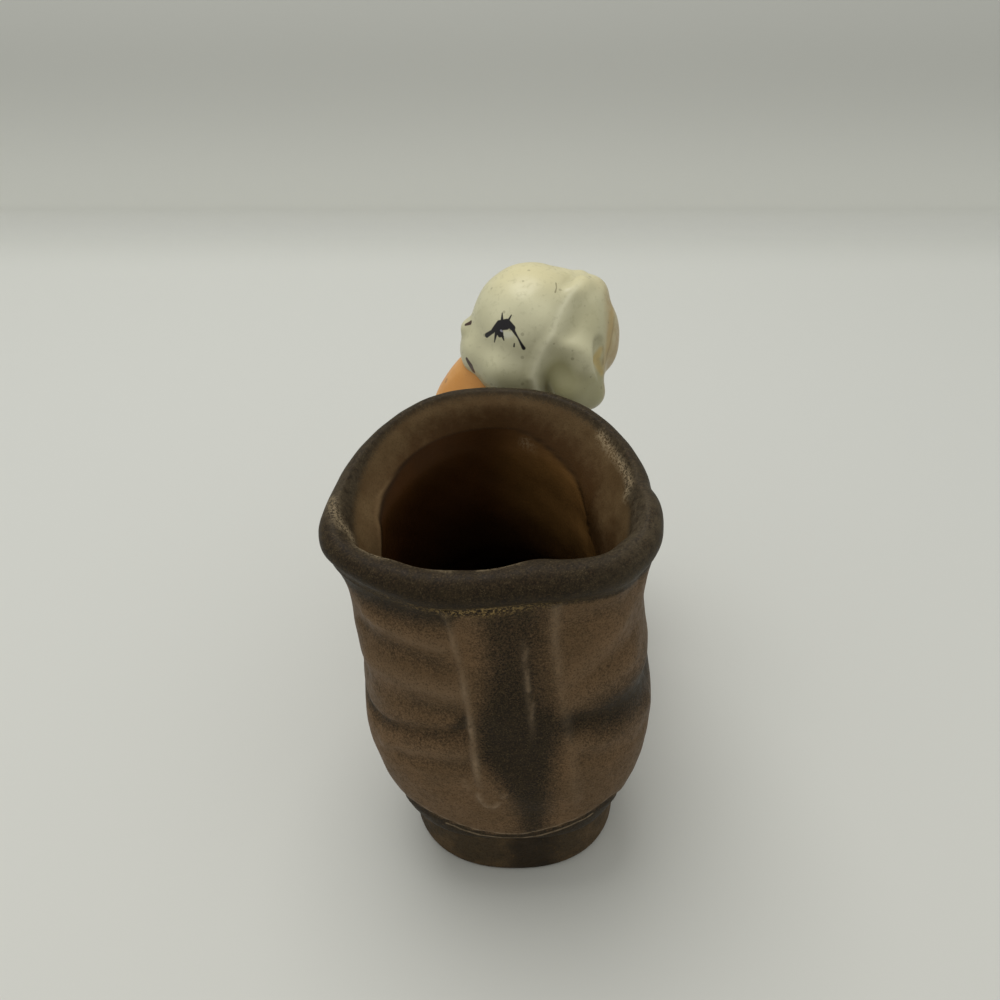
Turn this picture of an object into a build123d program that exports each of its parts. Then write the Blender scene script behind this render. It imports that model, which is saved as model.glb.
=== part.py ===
"""A ceramic toothpick holder: a chubby pull-on boot, with a puppy sitting on its foot.

The boot stands on its heel and outsole and points its toe along +Y. Its shaft is the open well that
holds the toothpicks. The puppy sits across the instep and faces -X. The origin is on the underside of
the heel, below the middle of the mouth. Everything is fired as one, from parts that are cast or
pressed on their own and luted together face to face, and those parts are the nodes.
"""

from build123d import *

import os
from math import cos, pi, radians, sin

# --- Boot: overall sizes, in millimetres -------------------------------------------------------
mouth_width = 43.8  # over the rolled rim
mouth_back = 11.8  # from the widest line of the mouth back to the rim above the heel
mouth_front = 28.5  # and forward to the rim above the instep
mouth_widest_y = -6.0
rim_height = 62.0
shaft_lean = -3.6  # the mouth stands this far to one side of the heel
wall = 3.0

# --- Rolled rim --------------------------------------------------------------------------------
roll_width = 4.8
roll_height = 5.6
mouth_squareness = 2.35  # 2 is an ellipse, and the far half of the mouth is fuller
rim_tilt = 2.2  # degrees, the rim is higher on the +X side

# --- Heel and outsole --------------------------------------------------------------------------
heel_height = 9.5
heel_half_width = 15.4
heel_back_y = -17.4
heel_widest_y = -3.0
heel_front_y = 7.0
heel_edge = 0.8
sole_thickness = 3.5
sole_waist_width = 25.0
sole_ball_width = 33.0
sole_toe_y = 57.5
ball_y = 24.0  # where the outsole comes down to the floor

# --- Foot --------------------------------------------------------------------------------------
pivot_y = 27.5  # the sections of the ankle fan out from a line above the instep
pivot_z = 38.0
seat_y = 34.0
ball_half_width = 18.0
ball_height = 25.4
toe_y = 58.0
toe_lift = 1.25  # the toe's top falls this much faster than its sides close in
widest_z = 10.0  # the foot is widest at this height
toe_bluntness = 2.3

# --- Back strap and the crease round the ankle ------------------------------------------------
strap_rise = 0.9
strap_top_width = 13.0
strap_foot_width = 11.0
strap_foot_z = 18.0
strap_top_x = -2.4
strap_foot_x = 1.6
crease_depth = 0.5

# --- Puppy -------------------------------------------------------------------------------------
seat_x = 0.5
seat_z = 25.0
neck_z = 58.0
torso_half_length = 12.6  # along X, at the belly
torso_half_width = 9.4
head_radius = 8.9
head_x = 2.2
head_y = 35.65
head_z = 63.4
head_tilt = 20.0  # degrees, the crown leans away from the boot
head_balls = (
    # radius, ahead of and above the head's middle
    (7.4, 0.2, -4.6),  # jaw
    (5.6, 4.9, -4.3),  # muzzle
    (1.3, 9.3, -0.5),  # nose
    (4.4, -8.4, -2.2),  # nape
)
blend_radius = 0.6  # between the balls of the head
ear_turn = 34.0  # degrees, from the side of the head towards its back
ear_lean = 14.0  # degrees, the ears stand off towards their tips
ear_lobes = (
    # behind, beside and above the head's middle, then the thickness, width and length
    (8.6, 1.9, 5.2, (5.2, 7.0, 6.8)),  # root
    (7.9, 3.2, 0.8, (5.2, 9.8, 11.2)),  # middle
    (6.3, 5.4, -6.7, (6.8, 10.6, 11.4)),  # tip
)
leg_radius = 3.7
leg_spread = 4.2
leg_top_x = -8.0
leg_top_z = 42.0
paw_x = -11.5
paw_z = 24.5
paw_length = 9.0
paw_width = 7.6
paw_height = 6.0
haunch_length = 16.0
haunch_width = 9.0
haunch_height = 17.0
haunch_x = 6.0
haunch_z = 31.0
haunch_spread = 8.2
hind_paw_x = -2.0
hind_paw_z = 26.5
tail_radius = 2.1
tail_points = ((12.0, 35.0, 29.0), (17.5, 32.5, 27.0), (17.0, 26.5, 31.5))

SECTION_POINTS = 20


def signed_power(value, exponent):
    """The size of value to that power, with value's own sign."""
    return (abs(value) ** exponent) * (1 if value >= 0 else -1)


def egg(centre, half_width, ahead, behind, ahead_power=2.0, behind_power=2.5):
    """Points round an egg that reaches ahead along +y and behind along -y of its widest line."""
    points = []
    for step in range(SECTION_POINTS):
        turn = 2 * pi * step / SECTION_POINTS + pi / 2
        reach, power = (ahead, ahead_power) if sin(turn) >= 0 else (behind, behind_power)
        points.append(
            (
                centre[0] + half_width * signed_power(cos(turn), 2 / power),
                centre[1] + reach * signed_power(sin(turn), 2 / power),
            )
        )
    return points


class Station:
    """One section of the upper, as an egg in a plane, with its round end to the instep side."""

    def __init__(self, plane, centre_x, widest, half_width, ahead, behind, powers=(2.0, 2.5)):
        self.plane = plane
        self.centre = (centre_x, widest)
        self.sizes = (half_width, ahead, behind)
        self.powers = powers

    def outline(self, inset):
        return egg(self.centre, *(size - inset for size in self.sizes), *self.powers)


def shaft_station(height, lean_share, widest_y, half_width, front_y, back_y):
    """A level section of the shaft."""
    plane = Plane(origin=(0, 0, height), x_dir=(1, 0, 0), z_dir=(0, 0, 1))
    return Station(
        plane, lean_share * shaft_lean, widest_y, half_width, front_y - widest_y, widest_y - back_y
    )


def ankle_station(angle, lean_share, half_width, instep, far, widest):
    """A section on a plane turned down from level about the pivot line.

    instep, widest and far are distances from that line."""
    turn = radians(angle)
    plane = Plane(
        origin=(0, pivot_y, pivot_z), x_dir=(1, 0, 0), z_dir=(0, -sin(turn), cos(turn))
    )
    return Station(
        plane, lean_share * shaft_lean, -widest, half_width, widest - instep, far - widest, (2.0, 2.8)
    )


def foot_station(y, top, bottom, half_width):
    """An upright section of the foot."""
    plane = Plane(origin=(0, y, 0), x_dir=(1, 0, 0), z_dir=(0, -1, 0))
    return Station(plane, 0, widest_z, half_width, top - widest_z, widest_z - bottom, (2.0, 2.6))


def toe_station(along):
    """An upright section of the toe, from 0 at the ball to 1 at the tip."""
    share = (1 - along**toe_bluntness) ** (1 / toe_bluntness)
    return foot_station(
        seat_y + along * (toe_y - seat_y),
        widest_z + (ball_height - widest_z) * share**toe_lift,
        widest_z * (1 - share),
        ball_half_width * share,
    )


mouth_half = mouth_width / 2
mouth_back_y = mouth_widest_y - mouth_back
roll_z = rim_height - roll_height / 2
roll_seat = roll_height / 2 * (1 - (wall / roll_width) ** 2) ** 0.5  # below the middle of the roll
edge_inset = (roll_width - wall) / 2
shaft_drop = rim_height - pivot_z

rim_turn = radians(rim_tilt)
rim_plane = Plane(
    origin=(shaft_lean, mouth_widest_y, roll_z),
    x_dir=(cos(rim_turn), 0, sin(rim_turn)),
    z_dir=(-sin(rim_turn), 0, cos(rim_turn)),
)
edge_plane = rim_plane.offset(-roll_seat)  # the shaft ends here and the roll sits on it

stations = [
    Station(
        edge_plane,
        0,
        0,
        *(size - edge_inset for size in (mouth_half, mouth_front, mouth_back)),
        (mouth_squareness, 2.5),
    ),
    shaft_station(roll_z - 0.18 * shaft_drop, 0.93, -5.6, 20.3, 20.4, -16.6),
    shaft_station(roll_z - 0.40 * shaft_drop, 0.78, -4.8, 19.6, 19.2, -17.0),
    shaft_station(roll_z - 0.65 * shaft_drop, 0.62, -3.8, 19.8, 18.6, -17.8),
    ankle_station(0, 0.44, 20.0, 8.6, 46.0, 30.5),
    ankle_station(8, 0.39, 20.3 - crease_depth, 8.3 + crease_depth, 47.4 - crease_depth, 31.0),
    ankle_station(15, 0.34, 20.6, 8.2, 48.9, 31.5),
    ankle_station(25, 0.24, 20.0, 8.4, 51.6, 32.5),
    ankle_station(33, 0.14, 17.9, 8.5, 53.8, 33.0),
    ankle_station(43, 0.05, 17.2, 8.8, 48.4, 30.0),
    ankle_station(57, 0, 16.8, 9.4, 39.4, 26.5),
    ankle_station(74, 0, 16.8, 10.2, 37.8, 27.5),
    foot_station(pivot_y, ball_height + 1.6, 0, ball_half_width - 0.5),
    toe_station(0),
    toe_station(0.34),
    toe_station(0.60),
    toe_station(0.78),
    toe_station(0.90),
    toe_station(0.97),
]


def upper_form(inset):
    """The upper's outer shape, shrunk by inset."""
    with BuildPart() as form:
        for section in stations:
            with BuildSketch(section.plane):
                with BuildLine():
                    Spline(*section.outline(inset), periodic=True)
                make_face()
        loft()
    return form.part


def below(lift):
    """Everything below the underside of the upper, raised by lift."""
    with BuildPart() as block:
        with BuildSketch(Plane.YZ.offset(-mouth_width)):
            with BuildLine():
                Polyline(
                    (-mouth_width, -heel_height),
                    (-mouth_width, heel_height + lift),
                    (heel_front_y, heel_height + lift),
                    (ball_y, sole_thickness + lift),
                    (toe_y + mouth_width, sole_thickness + lift),
                    (toe_y + mouth_width, -heel_height),
                    close=True,
                )
            make_face()
        extrude(amount=2 * mouth_width)
    return block.part


outer_form = upper_form(0)
cavity_form = upper_form(wall)


# --- Rolled rim: an oval bead that runs round the mouth, flat where it sits on the shaft ---------
with BuildPart() as rim_roll:
    with BuildLine(rim_plane) as rim_line:
        Spline(
            *egg(
                (0, 0),
                *(size - roll_width / 2 for size in (mouth_half, mouth_front, mouth_back)),
                mouth_squareness,
            ),
            periodic=True,
        )
    with BuildSketch(
        Plane(origin=rim_line.line @ 0, x_dir=(0, 1, 0), z_dir=-(rim_line.line % 0))
    ):
        Ellipse(roll_width / 2, roll_height / 2)
        with Locations((0, -roll_seat)):
            Rectangle(
                roll_width, roll_height, align=(Align.CENTER, Align.MAX), mode=Mode.SUBTRACT
            )
    sweep(path=rim_line.line)
rim_roll.part.label = "rim_roll"

# --- Boot upper: the hollow cast shell ----------------------------------------------------------
underside = below(0)
cavity = cavity_form - below(wall)

with BuildPart() as boot_upper:
    add(outer_form)
    add(underside, mode=Mode.SUBTRACT)
    add(cavity, mode=Mode.SUBTRACT)
boot_upper.part.label = "boot_upper"

# --- Back strap: a raised band down the back of the boot ----------------------------------------
strap_form = upper_form(-strap_rise)

with BuildPart() as back_strap:
    with BuildSketch(Plane.XZ):
        with BuildLine():
            Polyline(
                (strap_foot_x - strap_foot_width / 2, strap_foot_z),
                (strap_foot_x + strap_foot_width / 2, strap_foot_z),
                (strap_top_x + strap_top_width / 2, rim_height),
                (strap_top_x - strap_top_width / 2, rim_height),
                close=True,
            )
        make_face()
        fillet(vertices().group_by(Axis.Y)[0], radius=strap_foot_width * 0.35)
    extrude(amount=mouth_width)
    add(strap_form, mode=Mode.INTERSECT)
    add(outer_form, mode=Mode.SUBTRACT)
    split(bisect_by=edge_plane, keep=Keep.BOTTOM)
back_strap.part.label = "back_strap"


# --- Heel block ---------------------------------------------------------------------------------
with BuildPart() as heel_block:
    with BuildSketch():
        with BuildLine():
            Spline(
                *egg(
                    (0, heel_widest_y),
                    heel_half_width,
                    2 * (heel_front_y - heel_widest_y),
                    heel_widest_y - heel_back_y,
                    3.0,
                    2.3,
                ),
                periodic=True,
            )
        make_face()
        with Locations((0, heel_front_y)):
            Rectangle(
                mouth_width, mouth_width, align=(Align.CENTER, Align.MIN), mode=Mode.SUBTRACT
            )
    extrude(amount=heel_height)
    chamfer(edges().group_by(Axis.Z)[0], length=heel_edge)
heel_block.part.label = "heel_block"

# --- Outsole: from the front of the heel, up through the waist, to the toe -----------------------
with BuildPart() as outsole:
    with BuildSketch(Plane.YZ.offset(-mouth_width)):
        with BuildLine():
            Polyline(
                (heel_front_y, heel_height),
                (ball_y, sole_thickness),
                (sole_toe_y + wall, sole_thickness),
                (sole_toe_y + wall, 0),
                (ball_y, 0),
                (heel_front_y, heel_height - sole_thickness),
                close=True,
            )
        make_face()
    extrude(amount=2 * mouth_width)
    with BuildSketch(mode=Mode.PRIVATE) as sole_plan:
        with BuildLine():
            back_right = Vector(sole_waist_width / 2, heel_front_y)
            ball_right = Vector(sole_ball_width / 2, seat_y)
            back_left = Vector(-sole_waist_width / 2, heel_front_y)
            ball_left = Vector(-sole_ball_width / 2, seat_y)
            Line(back_left, back_right)
            Spline(back_right, ball_right, tangents=[(0, 1), (0, 1)])
            Spline(ball_right, (0, sole_toe_y), ball_left, tangents=[(0, 1), (0, -1)])
            Spline(ball_left, back_left, tangents=[(0, -1), (0, -1)])
        make_face()
    extrude(sole_plan.sketch, amount=heel_height, mode=Mode.INTERSECT)
outsole.part.label = "outsole"

# --- Puppy --------------------------------------------------------------------------------------
head_turn = radians(head_tilt)
crown = Vector(0, sin(head_turn), cos(head_turn))
nearside = Vector(0, -cos(head_turn), sin(head_turn))
forward = Vector(-1, 0, 0)
head_middle = Vector(head_x, head_y, head_z)


def on_head(ahead, near, up):
    """A point beside the head's middle: ahead towards the nose, near towards the shaft, up to the crown."""
    return head_middle + forward * ahead + nearside * near + crown * up


def oval(middle, sizes, long_axis=(0, 0, 1), width_axis=(1, 0, 0)):
    """A solid egg: its three full sizes lie along width_axis, across it, and along long_axis."""
    with BuildPart() as ball:
        Sphere(0.5)
        scale(by=sizes)
    return ball.part.moved(Location(Plane(origin=middle, x_dir=width_axis, z_dir=long_axis)))


def limb(start, end, radius):
    """A round limb between two points, with a round end at each."""
    along = Vector(*end) - Vector(*start)
    with BuildPart() as bone:
        with BuildSketch(Plane(origin=start, z_dir=along)):
            Circle(radius)
        extrude(amount=along.length)
        with Locations(start, end):
            Sphere(radius)
    return bone.part


with BuildPart() as puppy_head:
    with Locations(head_middle):
        Sphere(head_radius)
    for ball_radius, ahead, up in head_balls:
        with Locations(on_head(ahead, 0, up)):
            Sphere(ball_radius)
    fillet(edges().filter_by(GeomType.CIRCLE), radius=blend_radius)
puppy_head.part.label = "puppy_head"

torso_levels = (
    # share of the way from the seat to the neck, middle x, half length, half width
    (-0.25, 3.4, 0.80, 0.90),
    (0.00, 2.9, 0.96, 1.06),
    (0.28, 1.2, 1.00, 1.06),
    (0.55, -1.3, 0.94, 0.94),
    (0.80, -3.0, 0.80, 0.84),
    (1.00, -1.4, 0.60, 0.70),
    (1.15, 0.2, 0.46, 0.58),
)
with BuildPart() as puppy_torso:
    for share, middle_x, length_share, width_share in torso_levels:
        with BuildSketch(Plane.XY.offset(seat_z + share * (neck_z - seat_z))):
            with Locations((seat_x + middle_x, seat_y)):
                Ellipse(torso_half_length * length_share, torso_half_width * width_share)
    loft()
    add(outer_form, mode=Mode.SUBTRACT)
    add(puppy_head.part, mode=Mode.SUBTRACT)
puppy_torso.part.label = "puppy_torso"

pieces = [boot_upper, rim_roll, back_strap, heel_block, outsole, puppy_head, puppy_torso]
turn, lean = radians(ear_turn), radians(ear_lean)
for name, near in (("near", 1), ("far", -1)):
    ear_up = crown * cos(lean) - nearside * (near * sin(lean))
    ear_out = nearside * (near * cos(lean)) + crown * sin(lean)
    ear_face = ear_out * cos(turn) - forward * sin(turn)
    lobes = [
        oval(on_head(-behind, near * beside, up), lobe_sizes, ear_up, ear_face)
        for behind, beside, up, lobe_sizes in ear_lobes
    ]
    with BuildPart() as ear:
        add(lobes)
        split(bisect_by=Plane(origin=head_middle, z_dir=nearside * near), keep=Keep.TOP)
        add([puppy_head.part, puppy_torso.part], mode=Mode.SUBTRACT)
    ear.part.label = f"puppy_ear_{name}"

    leg_y = seat_y - near * leg_spread
    leg_shape = limb(
        (seat_x + leg_top_x, leg_y, leg_top_z), (seat_x + paw_x, leg_y, paw_z), leg_radius
    )
    paw_shape = oval((seat_x + paw_x - 1, leg_y, paw_z), (paw_length, paw_width, paw_height))
    with BuildPart() as foreleg:
        add(leg_shape)
        add(paw_shape)
        add([outer_form, puppy_torso.part], mode=Mode.SUBTRACT)
    foreleg.part.label = f"puppy_foreleg_{name}"

    thigh_shape = oval(
        (seat_x + haunch_x, seat_y - near * haunch_spread, haunch_z),
        (haunch_length, haunch_width, haunch_height),
    )
    foot_shape = oval(
        (seat_x + hind_paw_x, seat_y - near * (haunch_spread + 1), hind_paw_z),
        (paw_length + 2, paw_width, paw_height),
    )
    with BuildPart() as hind_leg:
        add(thigh_shape)
        add(foot_shape)
        add([outer_form, puppy_torso.part, foreleg.part], mode=Mode.SUBTRACT)
    hind_leg.part.label = f"puppy_hind_leg_{name}"
    pieces += [ear, foreleg, hind_leg]

with BuildPart() as puppy_tail:
    with BuildLine() as tail_line:
        ThreePointArc(*tail_points)
    with BuildSketch(Plane(origin=tail_line.line @ 0, z_dir=tail_line.line % 0)):
        Circle(tail_radius)
    sweep(path=tail_line.line)
    with Locations(tail_line.line @ 1):
        Sphere(tail_radius)
    add([outer_form, puppy_torso.part], mode=Mode.SUBTRACT)
puppy_tail.part.label = "puppy_tail"
pieces.append(puppy_tail)

os.makedirs("parts", exist_ok=True)
for piece in pieces:
    print(piece.part.label, piece.part.is_valid, len(piece.part.solids()), round(piece.part.volume))
    export_step(piece.part, f"parts/{piece.part.label}.step")
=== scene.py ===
"""Looks for the boot-and-puppy toothpick holder: hand-painted, satin-glazed cast ceramic.

The boot is one smooth skin that runs from the toe up to the rolled rim and down into the well. The
puppy's head and body are modelled as distance fields and skinned with a surface net. Lengths in the
shape code are millimetres in the CAD frame, and meshes are written in metres.
"""

from math import cos, pi, radians, sin, sqrt

import bpy
import numpy as np
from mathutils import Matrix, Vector
from mathutils.bvhtree import BVHTree


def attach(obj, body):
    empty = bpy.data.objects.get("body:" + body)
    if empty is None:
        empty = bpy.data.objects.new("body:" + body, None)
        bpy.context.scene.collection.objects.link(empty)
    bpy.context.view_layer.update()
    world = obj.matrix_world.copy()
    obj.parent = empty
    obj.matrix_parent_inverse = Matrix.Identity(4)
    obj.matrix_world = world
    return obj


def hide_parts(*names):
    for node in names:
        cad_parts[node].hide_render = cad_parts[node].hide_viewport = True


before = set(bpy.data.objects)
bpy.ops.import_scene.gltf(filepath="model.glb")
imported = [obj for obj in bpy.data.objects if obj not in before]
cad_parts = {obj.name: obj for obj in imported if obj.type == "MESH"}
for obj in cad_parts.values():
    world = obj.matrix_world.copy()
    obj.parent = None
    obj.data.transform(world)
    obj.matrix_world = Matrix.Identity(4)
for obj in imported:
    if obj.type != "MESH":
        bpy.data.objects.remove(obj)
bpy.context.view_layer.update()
bpy.context.scene.view_settings.view_transform = "Standard"

MM = 0.001

# --- Boot: the same sizes as the CAD part --------------------------------------------------------
mouth_half = 21.9
mouth_back = 11.8
mouth_front = 28.5
mouth_widest_y = -6.0
rim_height = 62.0
shaft_lean = -3.6
wall = 3.0
roll_width = 4.8
roll_height = 5.6
mouth_squareness = 2.35  # the far half of the mouth is fuller than an ellipse
rim_tilt = 2.2
heel_height = 9.5
heel_half_width = 15.4
heel_back_y = -17.4
heel_widest_y = -3.0
heel_front_y = 7.0
sole_thickness = 3.5
sole_waist_width = 25.0
sole_ball_width = 33.0
sole_toe_y = 57.5
ball_y = 24.0
pivot_y = 27.5
pivot_z = 38.0
seat_y = 34.0
ball_half_width = 18.0
ball_height = 25.4
toe_y = 57.3
toe_lift = 1.25
widest_z = 10.0
toe_bluntness = 2.3

AROUND = 320  # points round each ring of the boot
CROWDING = 0.35  # how much closer the points are at the back, where the strap's detail is
# Rings of the skin: from the toe to the ankle, up to the rim, over it and down into the well.
FOOT_ROWS = 62
SHAFT_ROWS = 134
ROLL_ROWS = 34
WELL_ROWS = 48
DEEP_ROWS = 26
ROLL_SINK = 0.35  # keeps the waves of the roll inside the CAD part's outline
ROLL_DROP = 0.2
SKIN_SINK = 0.2  # keeps the relief of the shaft and the foot inside it too

X_AXIS = np.array((1.0, 0.0, 0.0))


def signed_power(values, exponent):
    return np.sign(values) * np.abs(values) ** exponent


def smooth_step(values, low, high):
    share = np.clip((values - low) / (high - low), 0.0, 1.0)
    return share * share * (3 - 2 * share)


def bump(values, centre, spread):
    """A bell curve, 1 at the centre."""
    return np.exp(-(((values - centre) / spread) ** 2))


def limb_field(points, start, end, start_radius, end_radius):
    """Distance to a round limb from start to end."""
    start = np.array(start, float)
    along = np.array(end, float) - start
    share = np.clip((points - start) @ along / (along @ along), 0, 1)
    reach = np.linalg.norm(points - start - share[..., None] * along, axis=-1)
    return reach - (start_radius + (end_radius - start_radius) * share)


def chain_field(points, line, radii):
    """Distance to limbs from each place of the line to the next."""
    near = limb_field(points, line[0], line[1], radii[0], radii[1])
    for i in range(1, len(line) - 1):
        near = np.minimum(near, limb_field(points, line[i], line[i + 1], radii[i], radii[i + 1]))
    return near


def egg_ring(half_width, ahead, behind, ahead_power=2.0, behind_power=2.5):
    """Points round an egg, from the middle of its back round by +x, closest at the back."""
    turn = np.linspace(-pi / 2, 3 * pi / 2, 4001)
    forward = np.sin(turn) >= 0
    power = np.where(forward, ahead_power, behind_power)
    reach = np.where(forward, ahead, behind)
    x = half_width * signed_power(np.cos(turn), 2 / power)
    y = reach * signed_power(np.sin(turn), 2 / power)
    run = np.concatenate([[0], np.cumsum(np.hypot(np.diff(x), np.diff(y)))])
    share = np.linspace(0, 1, AROUND, endpoint=False)
    at = run[-1] * (share - CROWDING * np.sin(2 * pi * share) / (2 * pi))
    return np.interp(at, run, x), np.interp(at, run, y)


class Station:
    """One section of the boot: an egg in a plane with its middle at origin + centre."""

    def __init__(self, origin, x_dir, y_dir, centre, sizes, powers=(2.0, 2.5)):
        self.origin = np.array(origin, float)
        self.x_dir = np.array(x_dir, float)
        self.y_dir = np.array(y_dir, float)
        self.centre = centre
        self.sizes = np.array(sizes, float)
        self.powers = powers

    def ring(self, inset=0.0):
        x, y = egg_ring(*np.maximum(self.sizes - inset, 0.02), *self.powers)
        return (
            self.origin
            + np.outer(x + self.centre[0], self.x_dir)
            + np.outer(y + self.centre[1], self.y_dir)
        )


def shaft_station(height, lean_share, widest_y, half_width, front_y, back_y):
    sizes = (half_width, front_y - widest_y, widest_y - back_y)
    return Station((0, 0, height), X_AXIS, (0, 1, 0), (lean_share * shaft_lean, widest_y), sizes)


def ankle_station(angle, lean_share, half_width, instep, far, widest):
    turn = radians(angle)
    return Station(
        (0, pivot_y, pivot_z),
        X_AXIS,
        (0, cos(turn), sin(turn)),
        (lean_share * shaft_lean, -widest),
        (half_width, widest - instep, far - widest),
        (2.0, 2.8),
    )


def foot_station(y, top, bottom, half_width):
    sizes = (half_width, top - widest_z, widest_z - bottom)
    return Station((0, y, 0), X_AXIS, (0, 0, 1), (0, widest_z), sizes, (2.0, 2.6))


def toe_station(along):
    share = (1 - along**toe_bluntness) ** (1 / toe_bluntness)
    return foot_station(
        seat_y + along * (toe_y - seat_y),
        widest_z + (ball_height - widest_z) * share**toe_lift,
        widest_z * (1 - share),
        ball_half_width * share,
    )


roll_z = rim_height - roll_height / 2
roll_seat = roll_height / 2 * sqrt(1 - (wall / roll_width) ** 2)
edge_inset = (roll_width - wall) / 2
shaft_drop = rim_height - pivot_z
rim_turn = radians(rim_tilt)
rim_x = np.array((cos(rim_turn), 0, sin(rim_turn)))
rim_up = np.array((-sin(rim_turn), 0, cos(rim_turn)))
rim_middle = np.array((shaft_lean, mouth_widest_y, roll_z))
mouth_sizes = np.array((mouth_half, mouth_front, mouth_back))

shaft_stations = [
    Station(
        rim_middle - rim_up * roll_seat,
        rim_x,
        (0, 1, 0),
        (0, 0),
        mouth_sizes - edge_inset,
        (mouth_squareness, 2.5),
    ),
    shaft_station(roll_z - 0.18 * shaft_drop, 0.93, -5.6, 20.3, 20.4, -16.6),
    shaft_station(roll_z - 0.40 * shaft_drop, 0.78, -4.8, 19.6, 19.2, -17.0),
    shaft_station(roll_z - 0.65 * shaft_drop, 0.62, -3.8, 19.8, 18.6, -17.8),
]
ankle_stations = [
    ankle_station(0, 0.44, 20.0, 8.6, 46.0, 30.5),
    ankle_station(8, 0.39, 20.1, 8.5, 47.1, 31.0),
    ankle_station(15, 0.34, 20.6, 8.2, 48.9, 31.5),
    ankle_station(25, 0.24, 20.0, 8.4, 51.6, 32.5),
    ankle_station(33, 0.14, 17.9, 8.5, 53.8, 33.0),
    ankle_station(43, 0.05, 17.2, 8.8, 48.4, 30.0),
    ankle_station(57, 0, 16.8, 9.4, 39.4, 26.5),
    ankle_station(74, 0, 16.8, 10.2, 37.8, 27.5),
]
along_toe = (0, 0.2, 0.4, 0.6, 0.75, 0.86, 0.94, 0.98, 0.996, 1)
foot_stations = [foot_station(pivot_y, ball_height + 1.6, 0, ball_half_width - 0.5)]
foot_stations += [toe_station(along) for along in along_toe]
stations = shaft_stations + ankle_stations + foot_stations


def spline_rows(rows, at, wanted):
    """Rows at the wanted places, on a natural cubic spline through the given rows."""
    count = len(at)
    gaps = np.diff(at)
    matrix = np.zeros((count, count))
    matrix[0, 0] = matrix[-1, -1] = 1
    right = np.zeros_like(rows)
    for i in range(1, count - 1):
        matrix[i, i - 1 : i + 2] = gaps[i - 1], 2 * (gaps[i - 1] + gaps[i]), gaps[i]
        right[i] = 6 * ((rows[i + 1] - rows[i]) / gaps[i] - (rows[i] - rows[i - 1]) / gaps[i - 1])
    bend = np.linalg.solve(matrix, right.reshape(count, -1)).reshape(rows.shape)
    found = np.clip(np.searchsorted(at, wanted) - 1, 0, count - 2)
    span = gaps[found][:, None, None]
    before = (at[found + 1] - wanted)[:, None, None]
    after = (wanted - at[found])[:, None, None]
    return (
        (bend[found] * before**3 + bend[found + 1] * after**3) / (6 * span)
        + (rows[found] / span - bend[found] * span / 6) * before
        + (rows[found + 1] / span - bend[found + 1] * span / 6) * after
    )


def smooth_max(values, floor, width):
    share = np.clip(0.5 + 0.5 * (values - floor) / width, 0, 1)
    return floor + (values - floor) * share + width * share * (1 - share)


def underside(y, lift=0.0):
    """Height of the flat underside of the upper at y."""
    waist = np.clip((y - heel_front_y) / (ball_y - heel_front_y), 0, 1)
    return heel_height + (sole_thickness - heel_height) * waist + lift


outer_rings = np.array([station.ring() for station in stations])
inner_rings = np.array([station.ring(wall) for station in stations])
steps = np.linalg.norm(np.diff(outer_rings, axis=0), axis=2).mean(axis=1)
station_at = np.concatenate([[0], np.cumsum(steps)])
ankle_at = station_at[len(shaft_stations)]
foot_at = station_at[-len(foot_stations)]
end_at = station_at[-1]


def rows_at(start, middle, end, first_count, second_count):
    """Places of rows from start by middle to end, evenly spaced in each of the two parts."""
    first = np.linspace(start, middle, first_count, endpoint=False)
    return np.concatenate([first, np.linspace(middle, end, second_count)])


outer_top_at = 0.35  # the shaft's rows stop short of the roll's first row and last row
inner_top_at = 1.3
outer_at = rows_at(end_at, foot_at, outer_top_at, FOOT_ROWS, SHAFT_ROWS)
outer = spline_rows(outer_rings, station_at, outer_at)
inner_at = rows_at(inner_top_at, ankle_at, end_at, WELL_ROWS, DEEP_ROWS)
inner = spline_rows(inner_rings, station_at, inner_at)

# The underside is flat, and the upper rolls under to it, which leaves a groove above the heel.
roll_under = 1.6
outer[..., 2] = smooth_max(outer[..., 2], underside(outer[..., 1]), roll_under)
inner[..., 2] = smooth_max(inner[..., 2], underside(inner[..., 1], wall), roll_under)

# --- Rolled rim ----------------------------------------------------------------------------------
middle_x, middle_y = egg_ring(*(mouth_sizes - roll_width / 2), mouth_squareness)
run_x = np.roll(middle_x, -1) - np.roll(middle_x, 1)
run_y = np.roll(middle_y, -1) - np.roll(middle_y, 1)
run = np.hypot(run_x, run_y)
away = np.outer(run_y / run, rim_x) + np.outer(-run_x / run, np.array((0.0, 1.0, 0.0)))
roll_line = rim_middle + np.outer(middle_x, rim_x) + np.outer(middle_y, (0, 1, 0))
azimuth = np.degrees(np.arctan2(middle_x, -middle_y))  # 0 above the heel, 90 at +X

# centre, spread (degrees), outward shift, lift, extra width, extra height of the roll
rim_waves = (
    (34, 22, -0.5, 0.5, 1.0, 0.0),
    (-30, 22, -0.2, -0.2, 0.4, 0.0),
    (-62, 14, -0.9, 0.4, 0.0, -1.0),
    (96, 12, 0.4, 0.3, 0.5, 0.2),
    (76, 8, -0.6, -0.2, 0.2, 0.0),
    (-92, 14, 0.2, 0.3, 0.4, -0.4),
    (-78, 11, -0.8, 0.3, -0.4, -1.0),
    (109, 4, -0.3, 0.0, 0.0, 0.0),
    (-128, 20, 0.0, 0.0, -0.3, -0.4),
    (-140, 20, -0.6, 0.0, 0.0, 0.0),
    (138, 18, 0.3, -0.2, -0.4, -0.4),
    (178, 20, 0.1, 0.1, 0.2, -0.3),
    (180, 42, 0.3, 0.5, 0.0, 0.0),
)
shift = np.zeros(AROUND)
lift = np.zeros(AROUND)
half_roll = np.full(AROUND, roll_width / 2)
tall_roll = np.full(AROUND, roll_height / 2)
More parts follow.
